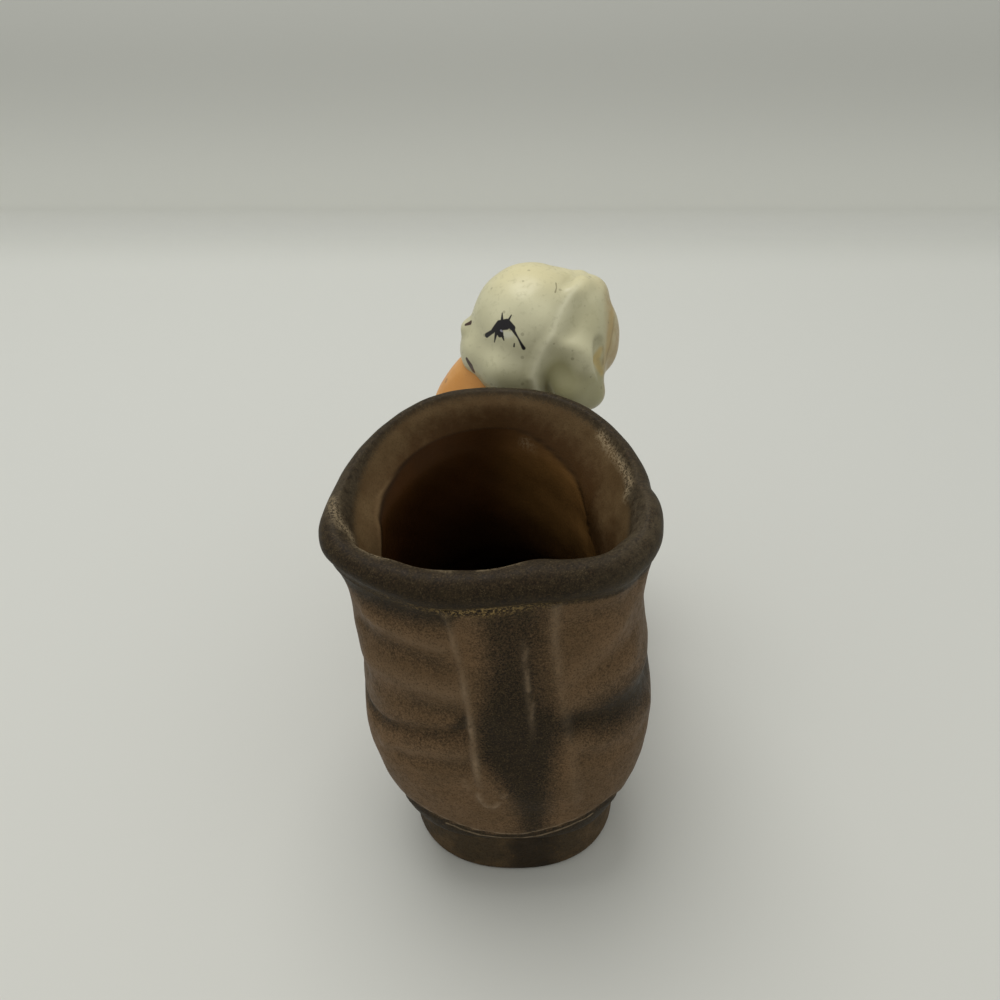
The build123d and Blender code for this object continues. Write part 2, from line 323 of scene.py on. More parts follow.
for centre, spread, outward, up, wider, taller in rim_waves:
    near = (azimuth - centre + 180) % 360 - 180
    share = np.exp(-((near / spread) ** 2))
    shift += outward * share
    lift += up * share
    half_roll += wider / 2 * share
    tall_roll += taller / 2 * share
half_roll -= ROLL_SINK
tall_roll -= ROLL_DROP
# On the far side the inner half of the roll is drawn out into a slope down to the ledge.
slope_share = 0.8 * smooth_step(np.abs(azimuth), 66, 108)
slope_reach = 0.45
slope_drop = 1.5
# Degrees round the roll's section, from the outside below by the top to the inside below.
roll_from = -58
roll_to = 205
roll_rows = []
for angle in np.linspace(roll_from, roll_to, ROLL_ROWS):
    reach = half_roll * cos(radians(angle))
    height = tall_roll * sin(radians(angle))
    past_top = max(angle - 90, 0) / (roll_to - 90)
    if past_top > 0:
        reach += slope_share * (-(half_roll + slope_reach) * past_top - reach)
        height += slope_share * (tall_roll * (1 - slope_drop * past_top) - height)
    roll_rows.append(
        roll_line + away * (shift + reach)[:, None] + rim_up * (lift + height)[:, None]
    )
roll = np.array(roll_rows)

# The top of the shaft follows the roll's waves, which fade out down the shaft.
for rows, at in ((outer, outer_at), (inner, inner_at)):
    fade = (1 - smooth_step(at, 0, 16))[:, None, None]
    rows += fade * (away * shift[:, None] + rim_up * lift[:, None])

skin = np.concatenate([outer, roll, inner])
outer_count = len(outer)
inner_from = outer_count + ROLL_ROWS


def smooth_rows(grid, first, last, times):
    """Evens out rows first to last against their neighbours."""
    for _ in range(times):
        grid[first:last] = 0.5 * grid[first:last] + 0.25 * (
            grid[first - 1 : last - 1] + grid[first + 1 : last + 1]
        )


smooth_rows(skin, outer_count - 3, outer_count + 3, times=3)
smooth_rows(skin, inner_from - 6, inner_from + 6, times=12)


def grid_normals(grid):
    across = np.roll(grid, -1, axis=1) - np.roll(grid, 1, axis=1)
    along = np.gradient(grid, axis=0)
    normal = np.cross(across, along)
    size = np.linalg.norm(normal, axis=2, keepdims=True)
    return normal / np.maximum(size, 1e-9)


# --- Modelled relief on the boot: strap, folds, seam and the ledge inside the well ---------------
x, y, z = np.moveaxis(skin, 2, 0)
row = np.arange(len(skin))[:, None] * np.ones(AROUND)
is_outer = row < outer_count
is_inner = row >= inner_from
is_roll = ~is_outer & ~is_inner
back = smooth_step(-y, -2, 4)

# The strap up the back: the places of its two edges, by height.
strap_left_z = (10.0, 17.3, 24.7, 27.8, 31.7, 39.0, 45.4, 52.1, 57.0, 64.0)
strap_left_x = (-2.6, -3.6, -5.2, -5.7, -6.1, -6.6, -7.3, -8.6, -9.5, -9.8)
strap_right_z = (10.0, 21.4, 27.9, 34.5, 42.2, 50.6, 57.0, 64.0)
strap_right_x = (9.0, 8.8, 8.1, 7.3, 6.1, 5.0, 5.0, 5.0)
left_edge = np.interp(z, strap_left_z, strap_left_x)
right_edge = np.interp(z, strap_right_z, strap_right_x)
strap_fade = smooth_step(z, 17.0, 22.0) * is_outer * back
strap = (
    smooth_step(x - left_edge, -0.6, 0.3) * smooth_step(right_edge - x, -1.0, 0.6) * strap_fade
)
left_ridge = bump(x, left_edge + 0.3, 0.5) * strap_fade * (0.75 + 0.25 * np.sin(z * 0.9))
left_ridge *= smooth_step(z, 23.5, 28)
right_height = np.interp(z, (20, 34, 44, 52, 57), (0.35, 0.3, 0.45, 0.85, 0.9))
right_ridge = bump(x, right_edge - 0.5, 0.7) * strap_fade * right_height
middle_ridge = (
    bump(x, np.interp(z, (36, 44, 52), (2.0, 1.1, 0.5)), 0.45)
    * smooth_step(z, 33, 38)
    * smooth_step(-z, -53, -49)
    * is_outer
    * back
)


def stroke(line, width, reach=1.0):
    """How near each skin point is to a line: reach on it, fading out over width."""
    return np.exp(-((chain_field(skin, line, [0] * len(line)) / width) ** 2)) * reach


hook_line = (
    (-5.3, -19.7, 23.3),
    (-4.9, -19.6, 21.4),
    (-4.4, -19.5, 20.3),
    (-3.8, -19.5, 19.7),
    (-3.2, -19.5, 19.6),
    (-2.6, -19.6, 20.7),
)
hook = stroke(hook_line, 0.38) * is_outer
hook += 0.6 * stroke(((-2.0, -19.7, 22.6), (-1.7, -19.7, 23.1)), 0.4) * is_outer
worn_dashes = (
    0.5 * stroke(((1.1, -16.7, 50.0), (0.8, -16.9, 48.7)), 0.3)
    + stroke(((1.1, -17.2, 46.6), (1.2, -17.6, 44.5), (1.4, -17.8, 43.2)), 0.26)
    + 0.7 * stroke(((2.0, -18.1, 40.8), (1.8, -18.4, 38.5)), 0.26)
) * is_outer

# The crease from each side of the strap round the boot's ankle.
left_crease_line = (
    (-7.0, -18.7, 34.5),
    (-9.3, -18.4, 34.4),
    (-13.0, -17.6, 33.6),
    (-15.9, -16.4, 33.1),
    (-19.5, -13.1, 31.6),
    (-21.5, -6.0, 31.0),
)
right_crease_line = (
    (6.6, -18.2, 36.4),
    (9.8, -17.5, 36.4),
    (13.1, -16.0, 36.2),
    (16.2, -13.4, 36.0),
    (19.4, -7.0, 34.5),
)
left_crease = stroke(left_crease_line, 1.0) * is_outer
right_crease = (
    np.maximum(stroke(right_crease_line, 1.5), stroke(right_crease_line[2:], 2.6)) * is_outer
)

# Puffs and valleys of the soft leather: their lines, half widths, and rise (or fall, below zero).
leather_folds = (
    (((-19.6, -12.3, 51.4), (-15.9, -14.4, 50.8), (-9.8, -16.5, 49.9)), 1.3, 0.5),
    (((-20.4, -11.2, 47.4), (-15.2, -15.1, 47.4), (-10.0, -17.0, 46.4)), 1.6, -0.45),
    (((-19.7, -12.1, 43.0), (-12.7, -16.7, 43.0), (-8.2, -17.7, 42.6)), 1.7, 0.5),
    (((-20.0, -10.5, 38.4), (-12.9, -17.0, 39.0), (-7.6, -18.2, 38.4)), 1.6, -0.4),
    (((-18.2, -14.6, 28.6), (-12.1, -18.1, 31.3), (-7.7, -18.9, 31.5)), 1.1, 0.35),
    (((-16.1, -16.8, 27.9), (-11.4, -18.6, 28.5), (-6.6, -19.3, 28.8)), 0.9, -0.35),
    (((15.6, -10.5, 56.0), (10.0, -14.6, 54.0), (6.2, -15.9, 52.0)), 1.5, -0.2),
    (((14.6, -11.8, 51.0), (10.4, -15.1, 47.5), (6.5, -17.0, 43.6)), 1.7, 0.3),
    (((16.6, -10.8, 47.0), (11.0, -15.6, 44.6), (7.4, -17.3, 42.2)), 1.1, -0.12),
    (((16.0, -12.0, 43.4), (9.4, -16.7, 41.5), (7.0, -17.5, 40.7)), 1.5, 0.35),
    (((18.8, -9.0, 30.6), (11.1, -17.5, 31.8), (7.6, -18.5, 32.4)), 1.1, 0.4),
    (((17.8, -12.0, 27.6), (11.3, -17.8, 28.8), (8.0, -18.7, 29.8)), 1.0, -0.25),
)
puffs = sum(stroke(line, spread, rise) for line, spread, rise in leather_folds)
puffs *= is_outer * (1 - strap)

# The seam above the heel, which climbs on both sides of the strap.
seam_x = (-14.0, -12.3, -10.3, -8.2, -5.9, -2.0, 0.6, 3.1, 6.9, 9.9, 12.2, 13.6)
seam_z = (16.6, 15.8, 14.9, 13.8, 12.9, 11.9, 11.8, 12.5, 14.2, 15.5, 16.9, 17.6)


def seam_height(x, y):
    side = np.interp(y, (-16.5, -13.0, -8.0, 0.0, 8.0), (18.0, 15.0, 12.4, 10.8, 9.9))
    return np.minimum(np.interp(x, seam_x, seam_z), side)


above_seam = z - seam_height(x, y)
near_heel = is_outer * smooth_step(-y, -10, -6)
seam_groove = bump(above_seam, -0.7, 0.5) * near_heel

# Inside, the tube is narrower than the lip. The ledge between them arches over the far side.
ledge_turn = (-180, -165, -150, -142, -134, -126, -115, -104, -95, -80)
ledge_turn += (80, 104, 120, 128, 130, 136, 142, 152, 157, 165, 172, 180)
ledge_z = (57.9, 57.8, 57.2, 56.7, 56.2, 55.9, 54.9, 52.6, 50.0, 48.0)
ledge_z += (46.0, 46.5, 47.5, 49.4, 51.8, 53.4, 54.5, 55.3, 55.9, 57.0, 57.7, 57.9)
lip_fill = 0.75
tube_turn = (-180, -150, -130, -110, -86, -40, 0, 40, 86, 104, 128, 150, 180)
tube_inset = (0.3, 0.9, 1.5, 2.0, 2.1, 1.6, 1.0, 1.6, 2.2, 2.1, 1.9, 1.1, 0.3)
turn = np.degrees(np.arctan2(x - shaft_lean, mouth_widest_y - y))
ledge_height = np.interp(turn, ledge_turn, ledge_z)
below_ledge = ledge_height - z
lip_top = 59.5
ledge = (bump(below_ledge, -0.4, 0.35) - bump(below_ledge, 0.35, 0.4)) * is_inner
in_tube = smooth_step(below_ledge, -0.3, 0.5) * is_inner
funnel = smooth_step((lip_top - z) / (lip_top - ledge_height), 0.0, 1.15) * is_inner
tube_depth = np.interp(turn, tube_turn, tube_inset)
tube = (lip_fill + (tube_depth - lip_fill) * funnel) * is_inner * smooth_step(z, 18, 36)

lumps_line = ((1.2, 16.6, 56.0), (2.8, 16.3, 55.2), (4.0, 15.9, 54.2), (5.6, 15.4, 54.6))
lumps = stroke(lumps_line, 0.8) * (0.5 + 0.5 * np.sin(2.6 * x + 1.9 * z)) * is_inner

relief = (
    0.24 * strap
    + 0.5 * left_ridge
    + 0.35 * right_ridge
    + 0.22 * middle_ridge
    + 0.25 * worn_dashes
    + 0.5 * hook
    - 0.75 * left_crease * (1 - 0.8 * strap)
    - 0.7 * right_crease * (1 - 0.8 * strap)
    + puffs
    - 0.3 * seam_groove
    + 0.14 * ledge
    + 0.3 * lumps
    + tube
)
# The hand-finished surface is never quite even.
wobble = (
    np.sin(0.33 * x + 0.21 * z + 1.0) * np.sin(0.27 * y - 0.31 * z)
    + 0.6 * np.sin(0.55 * x - 0.4 * y + 2.0) * np.sin(0.5 * z + 0.7)
    + 0.35 * np.sin(1.05 * x + 0.6 * z) * np.sin(0.9 * y + 0.8 * z + 1.3)
)
calm = smooth_step(z, 9.7, 13)
relief += 0.11 * wobble * calm * np.where(is_roll, 0.8, 1.0)
relief -= SKIN_SINK * calm * is_outer

normals = grid_normals(skin)
skin = skin + normals * relief[..., None]
smooth_rows(skin, inner_from - 7, inner_from + 5, times=24)

# --- Masks for the boot's airbrush, painted shade and painted highlight, one number for each point ---
x, y, z = np.moveaxis(skin, 2, 0)
brush_z = (9, 13.2, 20.5, 25.6, 31, 36.3, 42.5, 48, 54, 62)
brush_middle = np.interp(z, brush_z, (2.3, 2.3, 2.2, 1.2, 0.0, 0.2, 0.0, 0.0, -0.2, -0.4))
brush_half = np.interp(z, brush_z, (2.0, 2.0, 2.6, 3.6, 5.4, 6.0, 4.6, 4.2, 4.8, 5.6))
brush = smooth_step(brush_half - np.abs(x - brush_middle), -2.5, 2.5) * back
brush *= np.interp(z, brush_z, (0.85, 0.9, 0.95, 1.0, 1.0, 1.0, 0.9, 0.8, 0.8, 0.95))
brush *= 1 - 0.3 * smooth_step(x, 1.0, 2.5) * smooth_step(z, 36, 44)
# Dark bands along the creases on both sides of the strap and round the front of the ankle:
# airbrushed umber that also paints in the shade of the creases.
left_shade = np.maximum(
    stroke(left_crease_line, 1.1), stroke(((-6.6, -18.4, 37.6), (-8.6, -18.5, 34.6)), 1.3)
)
left_shade = np.maximum(left_shade, 0.45 * stroke(left_crease_line[:4], 2.6))
right_shade = np.maximum(
    stroke(right_crease_line, 2.6), stroke(right_crease_line[2:] + ((19.8, -4.0, 34.0),), 4.6)
)
front_line = ((-21.5, -6, 31), (-19, 4, 31), (-15, 14, 33), (-6, 19, 36), (6, 19, 36), (14, 14, 34))
round_front_shade = stroke(front_line + ((18, 4, 33), (19.4, -7.0, 34.5)), 2.6)
toe_front = smooth_step(y, 48, 58) * smooth_step(z, 3, 9) * 0.35
dark = np.maximum.reduce([brush, 0.95 * left_shade, right_shade, 0.8 * round_front_shade, toe_front])
# Painted shade in the valleys between the leather's puffs.
dark = np.maximum(dark, np.clip(-0.9 * puffs, 0, 0.4))
# Painted shadow under the rolled rim: the skin just below the roll is darkened, fading out further
# down.
under_turn = (-180, -100, -62, -32, -20, 60, 100, 180)
under_reach = np.interp(azimuth, under_turn, (3.4, 4.8, 7.4, 5.8, 1.6, 1.3, 3.0, 3.4))
shadow_under_rim = 1 - smooth_step(outer_at[:, None] / under_reach, 0.3, 1.1)
dark[:outer_count] = np.maximum(dark[:outer_count], shadow_under_rim)
below_seam = smooth_step(seam_height(x, y) - z, 0.1, 0.9) * near_heel
low_edge = 1 - smooth_step(z, 9.6, 12.5)
dark = np.maximum.reduce([dark, 0.35 * low_edge * is_outer, below_seam])
dark = np.where(is_outer, dark, 1.0)

roll_row = (row - outer_count) / (ROLL_ROWS - 1)
far_side = smooth_step(np.abs(azimuth), 74, 104)[None, :]
lip_turn = (-180, -150, -135, -120, -100, -80, 80, 95, 105, 115, 135, 150, 180)
lip_start = (0.57, 0.57, 0.61, 0.7, 0.82, 0.86, 0.86, 0.8, 0.77, 0.7, 0.64, 0.61, 0.57)
lip_from = np.interp(azimuth, lip_turn, lip_start)[None, :]
lip = np.where(is_roll, smooth_step(roll_row - lip_from, -0.08, 0.22) * far_side, 0.0)
lip = np.where(is_inner, 1 - in_tube, lip)
# Painted light in the well: the wash is lighter towards +x, and only half as light just below the
# ledge.
painted_lit_side = smooth_step(x, -6.0, 15.0) * is_inner
painted_lit_side *= 0.5 + 0.5 * smooth_step(below_ledge, 0.0, 6.0)
# Painted shade in a thin line just below the ledge, except at the middle of the far side, and a
# painted highlight on its edge just above, on the left side.
ledge_crease_shade = bump(below_ledge, 0.15, 0.36) * is_inner * smooth_step(np.abs(turn), 178, 160)
ledge_edge_highlight = bump(below_ledge, -0.6, 0.36) * is_inner
ledge_edge_highlight *= smooth_step(-turn, 80, 100) * smooth_step(turn, -160, -140)
# Painted shade deep in the well: the inside darkens further down.
deep = np.where(is_inner, smooth_step(-z, -52, -24), 0.0)
# Painted shade on the lip: it darkens going down towards the ledge, most on the far side.
low_turn = (-180, -150, -130, -80, 80, 110, 140, 180)
low_share = np.interp(turn, low_turn, (1.0, 0.6, 0.3, 0.3, 0.75, 0.8, 1.0, 1.0))
low_reach = np.interp(turn, low_turn, (4.6, 3.8, 3.4, 3.4, 14.0, 14.0, 7.0, 4.6))
lip_depth_shade = smooth_step(below_ledge / low_reach, -1.0, -0.1) * low_share * (is_roll | is_inner)
dusty = is_roll * (
    bump(azimuth, 88, 26)
    + 0.7 * bump(azimuth, -112, 22)
    + 0.35 * (bump(azimuth, 180, 60) + bump(azimuth, -180, 60))
)
worn = (
    left_ridge * np.interp(z, (22, 30, 40, 47, 56), (1.0, 1.0, 0.9, 0.6, 0.5))
    + 0.55 * right_ridge
    + 0.25 * middle_ridge
    + 0.55 * worn_dashes
    + 0.9 * hook
    + 0.4 * stroke(((-7.3, -19.5, 25.4), (-6.7, -19.6, 24.2)), 0.5)
)
scuffed_right = (
    (11.4, 11.7, 61.0),
    (12.5, 9.2, 60.7),
    (13.5, 6.3, 61.0),
    (14.2, 3.6, 61.3),
    (14.5, 1.2, 61.5),
    (13.9, 0.2, 60.4),
)
scuffed_left = ((-24.0, -1.0, 60.8), (-23.5, -3.2, 61.1), (-22.3, -5.5, 60.6), (-21.1, -5.9, 58.9))
near_lip = ((-21.1, -5.9, 58.9), (-20.0, -8.9, 60.2), (-17.0, -11.2, 60.7), (-8.3, -14.2, 61.2))
scuffs = (
    0.9 * stroke(scuffed_right, 0.8)
    + 0.6 * stroke(scuffed_left, 0.9)
    + 0.7 * stroke(near_lip[:3], 0.8)
    + 0.4 * stroke(near_lip[2:], 0.6)
    + 0.5 * stroke(((-4.6, -14.2, 61.4), (0.2, -13.6, 61.9)), 0.6)
    + 0.3 * stroke(lumps_line, 0.7)
)
scuffs *= is_roll | is_inner
# Painted highlight on the puffs of the leather, lighter where they swell, kept off the dark areas.
pale = np.clip(puffs * 1.6, 0, 1) * (1 - dark)
gold_rows = np.zeros(len(skin))
gold_rows[:outer_count] = bump(outer_at, 0.3, 1.2)
gold_rows[outer_count:inner_from] = bump(np.arange(ROLL_ROWS), 0, 2.2)
gold = gold_rows[:, None] * bump(azimuth, -6, 44)[None, :]


# --- Mesh helpers, heel and outsole --------------------------------------------------------------
def new_mesh(name, points, faces, masks=None):
    """A smooth-shaded object from points in millimetres, with one float attribute for each mask."""
    mesh = bpy.data.meshes.new(name)
    mesh.from_pydata((np.asarray(points) * MM).tolist(), [], faces)
    mesh.validate()
    mesh.polygons.foreach_set("use_smooth", [True] * len(mesh.polygons))
    for mask, values in (masks or {}).items():
        layer = mesh.attributes.new(mask, "FLOAT", "POINT")
        layer.data.foreach_set("value", np.ravel(values).astype(np.float32))
    piece = bpy.data.objects.new(name, mesh)
    bpy.context.scene.collection.objects.link(piece)
    return piece


def grid_faces(rows, around):
    """Quads of a grid that closes round each row, with a cap at each end."""
    here = np.arange(rows * around).reshape(rows, around)
    beside = np.roll(here, -1, axis=1)
    quads = np.stack([here[:-1], beside[:-1], beside[1:], here[1:]], axis=-1).reshape(-1, 4)
    return quads.tolist() + [here[0][::-1].tolist(), here[-1].tolist()]


boot = new_mesh(
    "boot_body",
    skin.reshape(-1, 3),
    grid_faces(len(skin), AROUND),
    {
        "brushed_and_shade": dark,
        "worn": np.clip(worn, 0, 1),
        "scuffed": np.clip(scuffs, 0, 1),
        "pale": pale,
        "lip": lip,
        "inside": in_tube,
        "deep": deep,
        "gold": np.clip(gold, 0, 1),
        "low": lip_depth_shade,
        "dusty": np.clip(dusty, 0, 1),
        "painted_lit_side": painted_lit_side,
        "ledge_crease_shade": ledge_crease_shade,
        "ledge_edge_highlight": ledge_edge_highlight,
    },
)


def stacked(name, outline, levels):
    """A closed piece from one outline, drawn in by each level's inset at its height."""
    ahead = np.roll(outline, -1, axis=0) - np.roll(outline, 1, axis=0)
    outward = np.stack([ahead[:, 1], -ahead[:, 0]], axis=1)
    outward /= np.linalg.norm(outward, axis=1, keepdims=True)
    rows = []
    for height, inset in levels:
        flat = outline - outward * inset
        tall = height(flat[:, 1]) if callable(height) else np.full(len(flat), height)
        rows.append(np.column_stack([flat, tall]))
    return new_mesh(name, np.concatenate(rows), grid_faces(len(rows), len(outline)))


def even_outline(points, count):
    """The closed outline through points, with count evenly spaced points."""
    closed = np.vstack([points, points[:1]])
    run = np.concatenate([[0], np.cumsum(np.linalg.norm(np.diff(closed, axis=0), axis=1))])
    at = np.linspace(0, run[-1], count, endpoint=False)
    return np.column_stack([np.interp(at, run, closed[:, axis]) for axis in (0, 1)])


def round_corners(outline, times):
    for _ in range(times):
        outline = 0.5 * outline + 0.25 * (
            np.roll(outline, 1, axis=0) + np.roll(outline, -1, axis=0)
        )
    return outline


heel_x, heel_y = egg_ring(
    heel_half_width, 2 * (heel_front_y - heel_widest_y), heel_widest_y - heel_back_y, 3.0, 2.3
)
heel_points = np.column_stack([heel_x, np.minimum(heel_y + heel_widest_y, heel_front_y)])
heel_outline = round_corners(even_outline(heel_points, 260), 12)
heel_levels = [(0.0, 2.2), (0.0, 1.0), (0.06, 0.6), (0.25, 0.3), (0.55, 0.12), (1.0, 0.02)]
heel_levels += [(level, 0.0) for level in np.linspace(1.5, heel_height - 1.3, 16)]
heel_levels += [(heel_height - 0.8, 0.05), (heel_height - 0.4, 0.2), (heel_height - 0.12, 0.5)]
heel_levels += [(heel_height, 0.9), (heel_height, 2.4)]
heel = stacked("boot_heel", heel_outline, heel_levels)


def hermite(start, start_run, end, end_run, count=60):
    """Points on a cubic from start to end, with its direction and speed at both ends."""
    share = np.linspace(0, 1, count, endpoint=False)[:, None]
    return (
        (2 * share**3 - 3 * share**2 + 1) * start
        + (share**3 - 2 * share**2 + share) * start_run
        + (3 * share**2 - 2 * share**3) * end
        + (share**3 - share**2) * end_run
    )


waist = np.array((sole_waist_width / 2, heel_front_y))
ball = np.array((sole_ball_width / 2, seat_y))
tip = np.array((0.0, sole_toe_y))
waist_run = np.array((0.0, np.linalg.norm(ball - waist)))
toe_run = 1.45 * np.linalg.norm(tip - ball)
right_side = np.vstack(
    [
        hermite(waist, waist_run, ball, waist_run),
        hermite(ball, np.array((0, 0.8 * toe_run)), tip, np.array((-0.95 * toe_run, 0))),
    ]
)
left_side = right_side[::-1] * np.array((-1, 1))
sole_outline = round_corners(even_outline(np.vstack([right_side, [tip], left_side]), 300), 6)


def sole_top(drop):
    return lambda along: underside(along) - drop


def sole_bottom(lift):
    return lambda along: underside(along) - sole_thickness + lift


# The edge is rounded alike below and above: distance from the face, and how far it is drawn in.
edge_steps = ((0.0, 2.0), (0.0, 0.9), (0.1, 0.45), (0.4, 0.15), (0.9, 0.02), (1.5, 0.0))
sole_levels = [(sole_bottom(lift), inset) for lift, inset in edge_steps]
sole_levels += [(sole_top(drop), inset) for drop, inset in reversed(edge_steps)]
sole = stacked("boot_outsole", sole_outline, sole_levels)


# --- Distance fields for the puppy ---------------------------------------------------------------
def melt(first, second, width):
    """Smooth union."""
    share = np.clip(0.5 + 0.5 * (second - first) / width, 0, 1)
    return second + (first - second) * share - width * share * (1 - share)


def carve(body, tool, width):
    """Smooth cut of tool out of body."""
    return -melt(-body, tool, width)


def ball_field(points, centre, radius):
    return np.linalg.norm(points - centre, axis=-1) - radius


def egg_field(points, centre, radii, axes=None):
    """Distance, about, to an ellipsoid whose radii lie along axes."""
    local = points - centre
    if axes is not None:
        local = local @ np.array(axes).T
    radii = np.array(radii, float)
    near = np.linalg.norm(local / radii, axis=-1)
    slope = np.linalg.norm(local / radii**2, axis=-1)
    return near * (near - 1) / np.maximum(slope, 1e-6)


def surface_net(field, low, high, step):
    """Points and quads of the zero surface of field, by surface nets, then pulled onto it."""
    axes = [np.arange(low[i], high[i] + step, step) for i in range(3)]
    shape = tuple(len(axis) for axis in axes)
    values = np.empty(shape)
    plane = np.stack(np.meshgrid(axes[1], axes[2], indexing="ij"), axis=-1)
    for i, level in enumerate(axes[0]):
        points = np.concatenate([np.full(plane.shape[:2] + (1,), level), plane], axis=-1)
        values[i] = field(points)
    inside_grid = values < 0
    cells = tuple(count - 1 for count in shape)
    total = np.zeros(cells + (3,))
    hits = np.zeros(cells)
    crossings = []
    for axis in range(3):
        first = [slice(None)] * 3
        second = [slice(None)] * 3
        first[axis] = slice(0, -1)
        second[axis] = slice(1, None)
        start, end = values[tuple(first)], values[tuple(second)]
        crossed = inside_grid[tuple(first)] != inside_grid[tuple(second)]
        at = np.argwhere(crossed)
        share = start[crossed] / (start[crossed] - end[crossed])
        spot = at.astype(float)
        spot[:, axis] += share
        others = [i for i in range(3) if i != axis]
        keep = np.all([(at[:, i] > 0) & (at[:, i] < shape[i] - 1) for i in others], axis=0)
        at, spot = at[keep], spot[keep]
        filled = inside_grid[tuple(first)][crossed][keep]
        corners = []
        for back_one, back_two in ((1, 1), (0, 1), (0, 0), (1, 0)):
            cell = at.copy()
            cell[:, others[0]] -= back_one
            cell[:, others[1]] -= back_two
            corners.append(cell)
            np.add.at(total, tuple(cell.T), spot)
            np.add.at(hits, tuple(cell.T), 1)
        crossings.append((axis, filled, corners))
    used = hits > 0
    index = np.full(cells, -1)
    index[used] = np.arange(used.sum())
    points = total[used] / hits[used][:, None] * step + np.array(low)
    faces = []
    for axis, filled, corners in crossings:
        quad = np.stack([index[tuple(cell.T)] for cell in corners], axis=1)
        turned = filled if axis != 1 else ~filled
        faces.append(np.where(turned[:, None], quad, quad[:, ::-1]))
    faces = np.concatenate(faces)
    for _ in range(3):
        points = points - pull(field, points)
    return points, faces


def slope_of(field, points, reach=0.05):
    slope = np.empty_like(points)
    for axis in range(3):
        nudge = np.zeros(3)
        nudge[axis] = reach
        slope[:, axis] = (field(points + nudge) - field(points - nudge)) / (2 * reach)
    return slope


def pull(field, points):
    """The move that takes points most of the way onto the zero surface."""
    slope = slope_of(field, points)
    size = np.maximum((slope**2).sum(axis=1), 0.05)
    return np.clip(field(points) / size, -0.2, 0.2)[:, None] * slope * 0.9


# --- Puppy head ----------------------------------------------------------------------------------
head = np.array((2.6, 35.5, 63.0))
# The face frame: ahead to the nose, lift and out in the plane seen from above the boot's mouth.
AHEAD = np.array((-1.0, 0.0, 0.0))
LIFT = np.array((0.0, 0.56, 0.83))
LIFT /= np.linalg.norm(LIFT)
OUT = np.cross(LIFT, AHEAD)
head_tilt = radians(20.0)
CROWN = np.array((0.0, sin(head_tilt), cos(head_tilt)))
SIDE = np.array((0.0, -cos(head_tilt), sin(head_tilt)))  # out of the near cheek


def seen(ahead, lift, out):
    """A point by its place on the near side of the head, from the head's middle."""
    return head + AHEAD * ahead + LIFT * lift + OUT * out


def mirrored(points):
    """The same points across the head's own middle plane."""
    points = np.asarray(points, float)
    return points - 2 * ((points - head) @ SIDE)[..., None] * SIDE


flap = -AHEAD * 0.55 + OUT * 0.83
flap /= np.linalg.norm(flap)
EAR_AXES = (np.cross(LIFT, flap), LIFT, flap)


def melted(points, lobes):
    """Lobes melted together in turn: eggs along their axes, and balls where they have none."""
    whole = None
    for middle, radii, axes, width in lobes:
        if axes is None:
            lobe = ball_field(points, middle, radii)
        else:
            lobe = egg_field(points, middle, radii, axes)
        whole = lobe if whole is None else melt(whole, lobe, width)
    return whole


# The near ear's flap in soft lobes: middle, radii, axes, and the width of the melted join.
ear_lobes = (
    (seen(-8.0, 4.25, 1.4), (3.3, 3.1, 2.6), EAR_AXES, 0.0),
    (seen(-7.5, 0.2, 3.4), (4.9, 5.4, 2.6), EAR_AXES, 1.4),
    (seen(-6.1, -4.0, 3.3), (5.3, 8.6, 3.6), EAR_AXES, 1.8),
    (seen(-8.3, -10.0, 1.2), 2.4, None, 1.6),
    (seen(-9.5, -1.8, -0.2), (3.3, 5.6, 3.4), EAR_AXES, 1.2),
)
HEAD_AXES = (AHEAD, SIDE, CROWN)


def on_head(ahead, side, up):
    """A point by its place in the head's own directions, from the head's middle."""
    return head + AHEAD * ahead + SIDE * side + CROWN * up


# Skull, nape, jaw, muzzle, two cheeks and the tip of the nose.
skull_lobes = (
    (on_head(0.25, 0, 0.38), (8.8, 8.6, 8.9), HEAD_AXES, 0.0),
    (seen(-4.2, 5.1, -0.6), (3.8, 3.2, 4.2), EAR_AXES, 1.2),
    (on_head(0.6, 0, -4.2), (7.3, 7.6, 7.3), HEAD_AXES, 1.5),
    (on_head(5.2, 0, -3.6), (5.7, 5.4, 5.5), HEAD_AXES, 1.6),
    (on_head(3.5, 3.6, -5.4), 4.5, None, 1.6),
    (on_head(3.5, -3.6, -5.4), 4.5, None, 1.6),
    (on_head(9.5, 0, -0.4), 1.2, None, 1.2),
)


def plain_field(points):
    """The near side of the head before its folds and hollows."""
    return melt(melted(points, skull_lobes), melted(points, ear_lobes), 0.8)


def touch(field, ahead, lift):
    """The point of the head's near side that is seen at ahead and lift."""
    line = np.array([seen(ahead, lift, out) for out in np.linspace(14, -2, 161)])  # inward
    values = field(line)
    first = int(np.argmax(values < 0))
    if first == 0:
        nearest = int(np.argmin(values))
        return line[nearest] - pull(field, line[nearest : nearest + 1])[0]
    share = values[first - 1] / (values[first - 1] - values[first])
    return line[first - 1] + share * (line[first] - line[first - 1])


fold_radius = 1.2
fold_places = ((-6.9, 5.9), (-5.2, 4.4), (-3.9, 2.4), (-2.5, -1.2), (-1.2, -3.4))
fold_places += ((-0.3, -5.5), (0.2, -7.2), (-0.3, -9.4), (-1.2, -11.0))
branch_places = ((-2.4, -2.1), (-4.6, -3.5), (-6.6, -5.0))


def laid_on(places, above):
    """Points above millimetres above the head's near side, each seen at its ahead and lift."""
    return [touch(plain_field, ahead, lift) + OUT * above for ahead, lift in places]


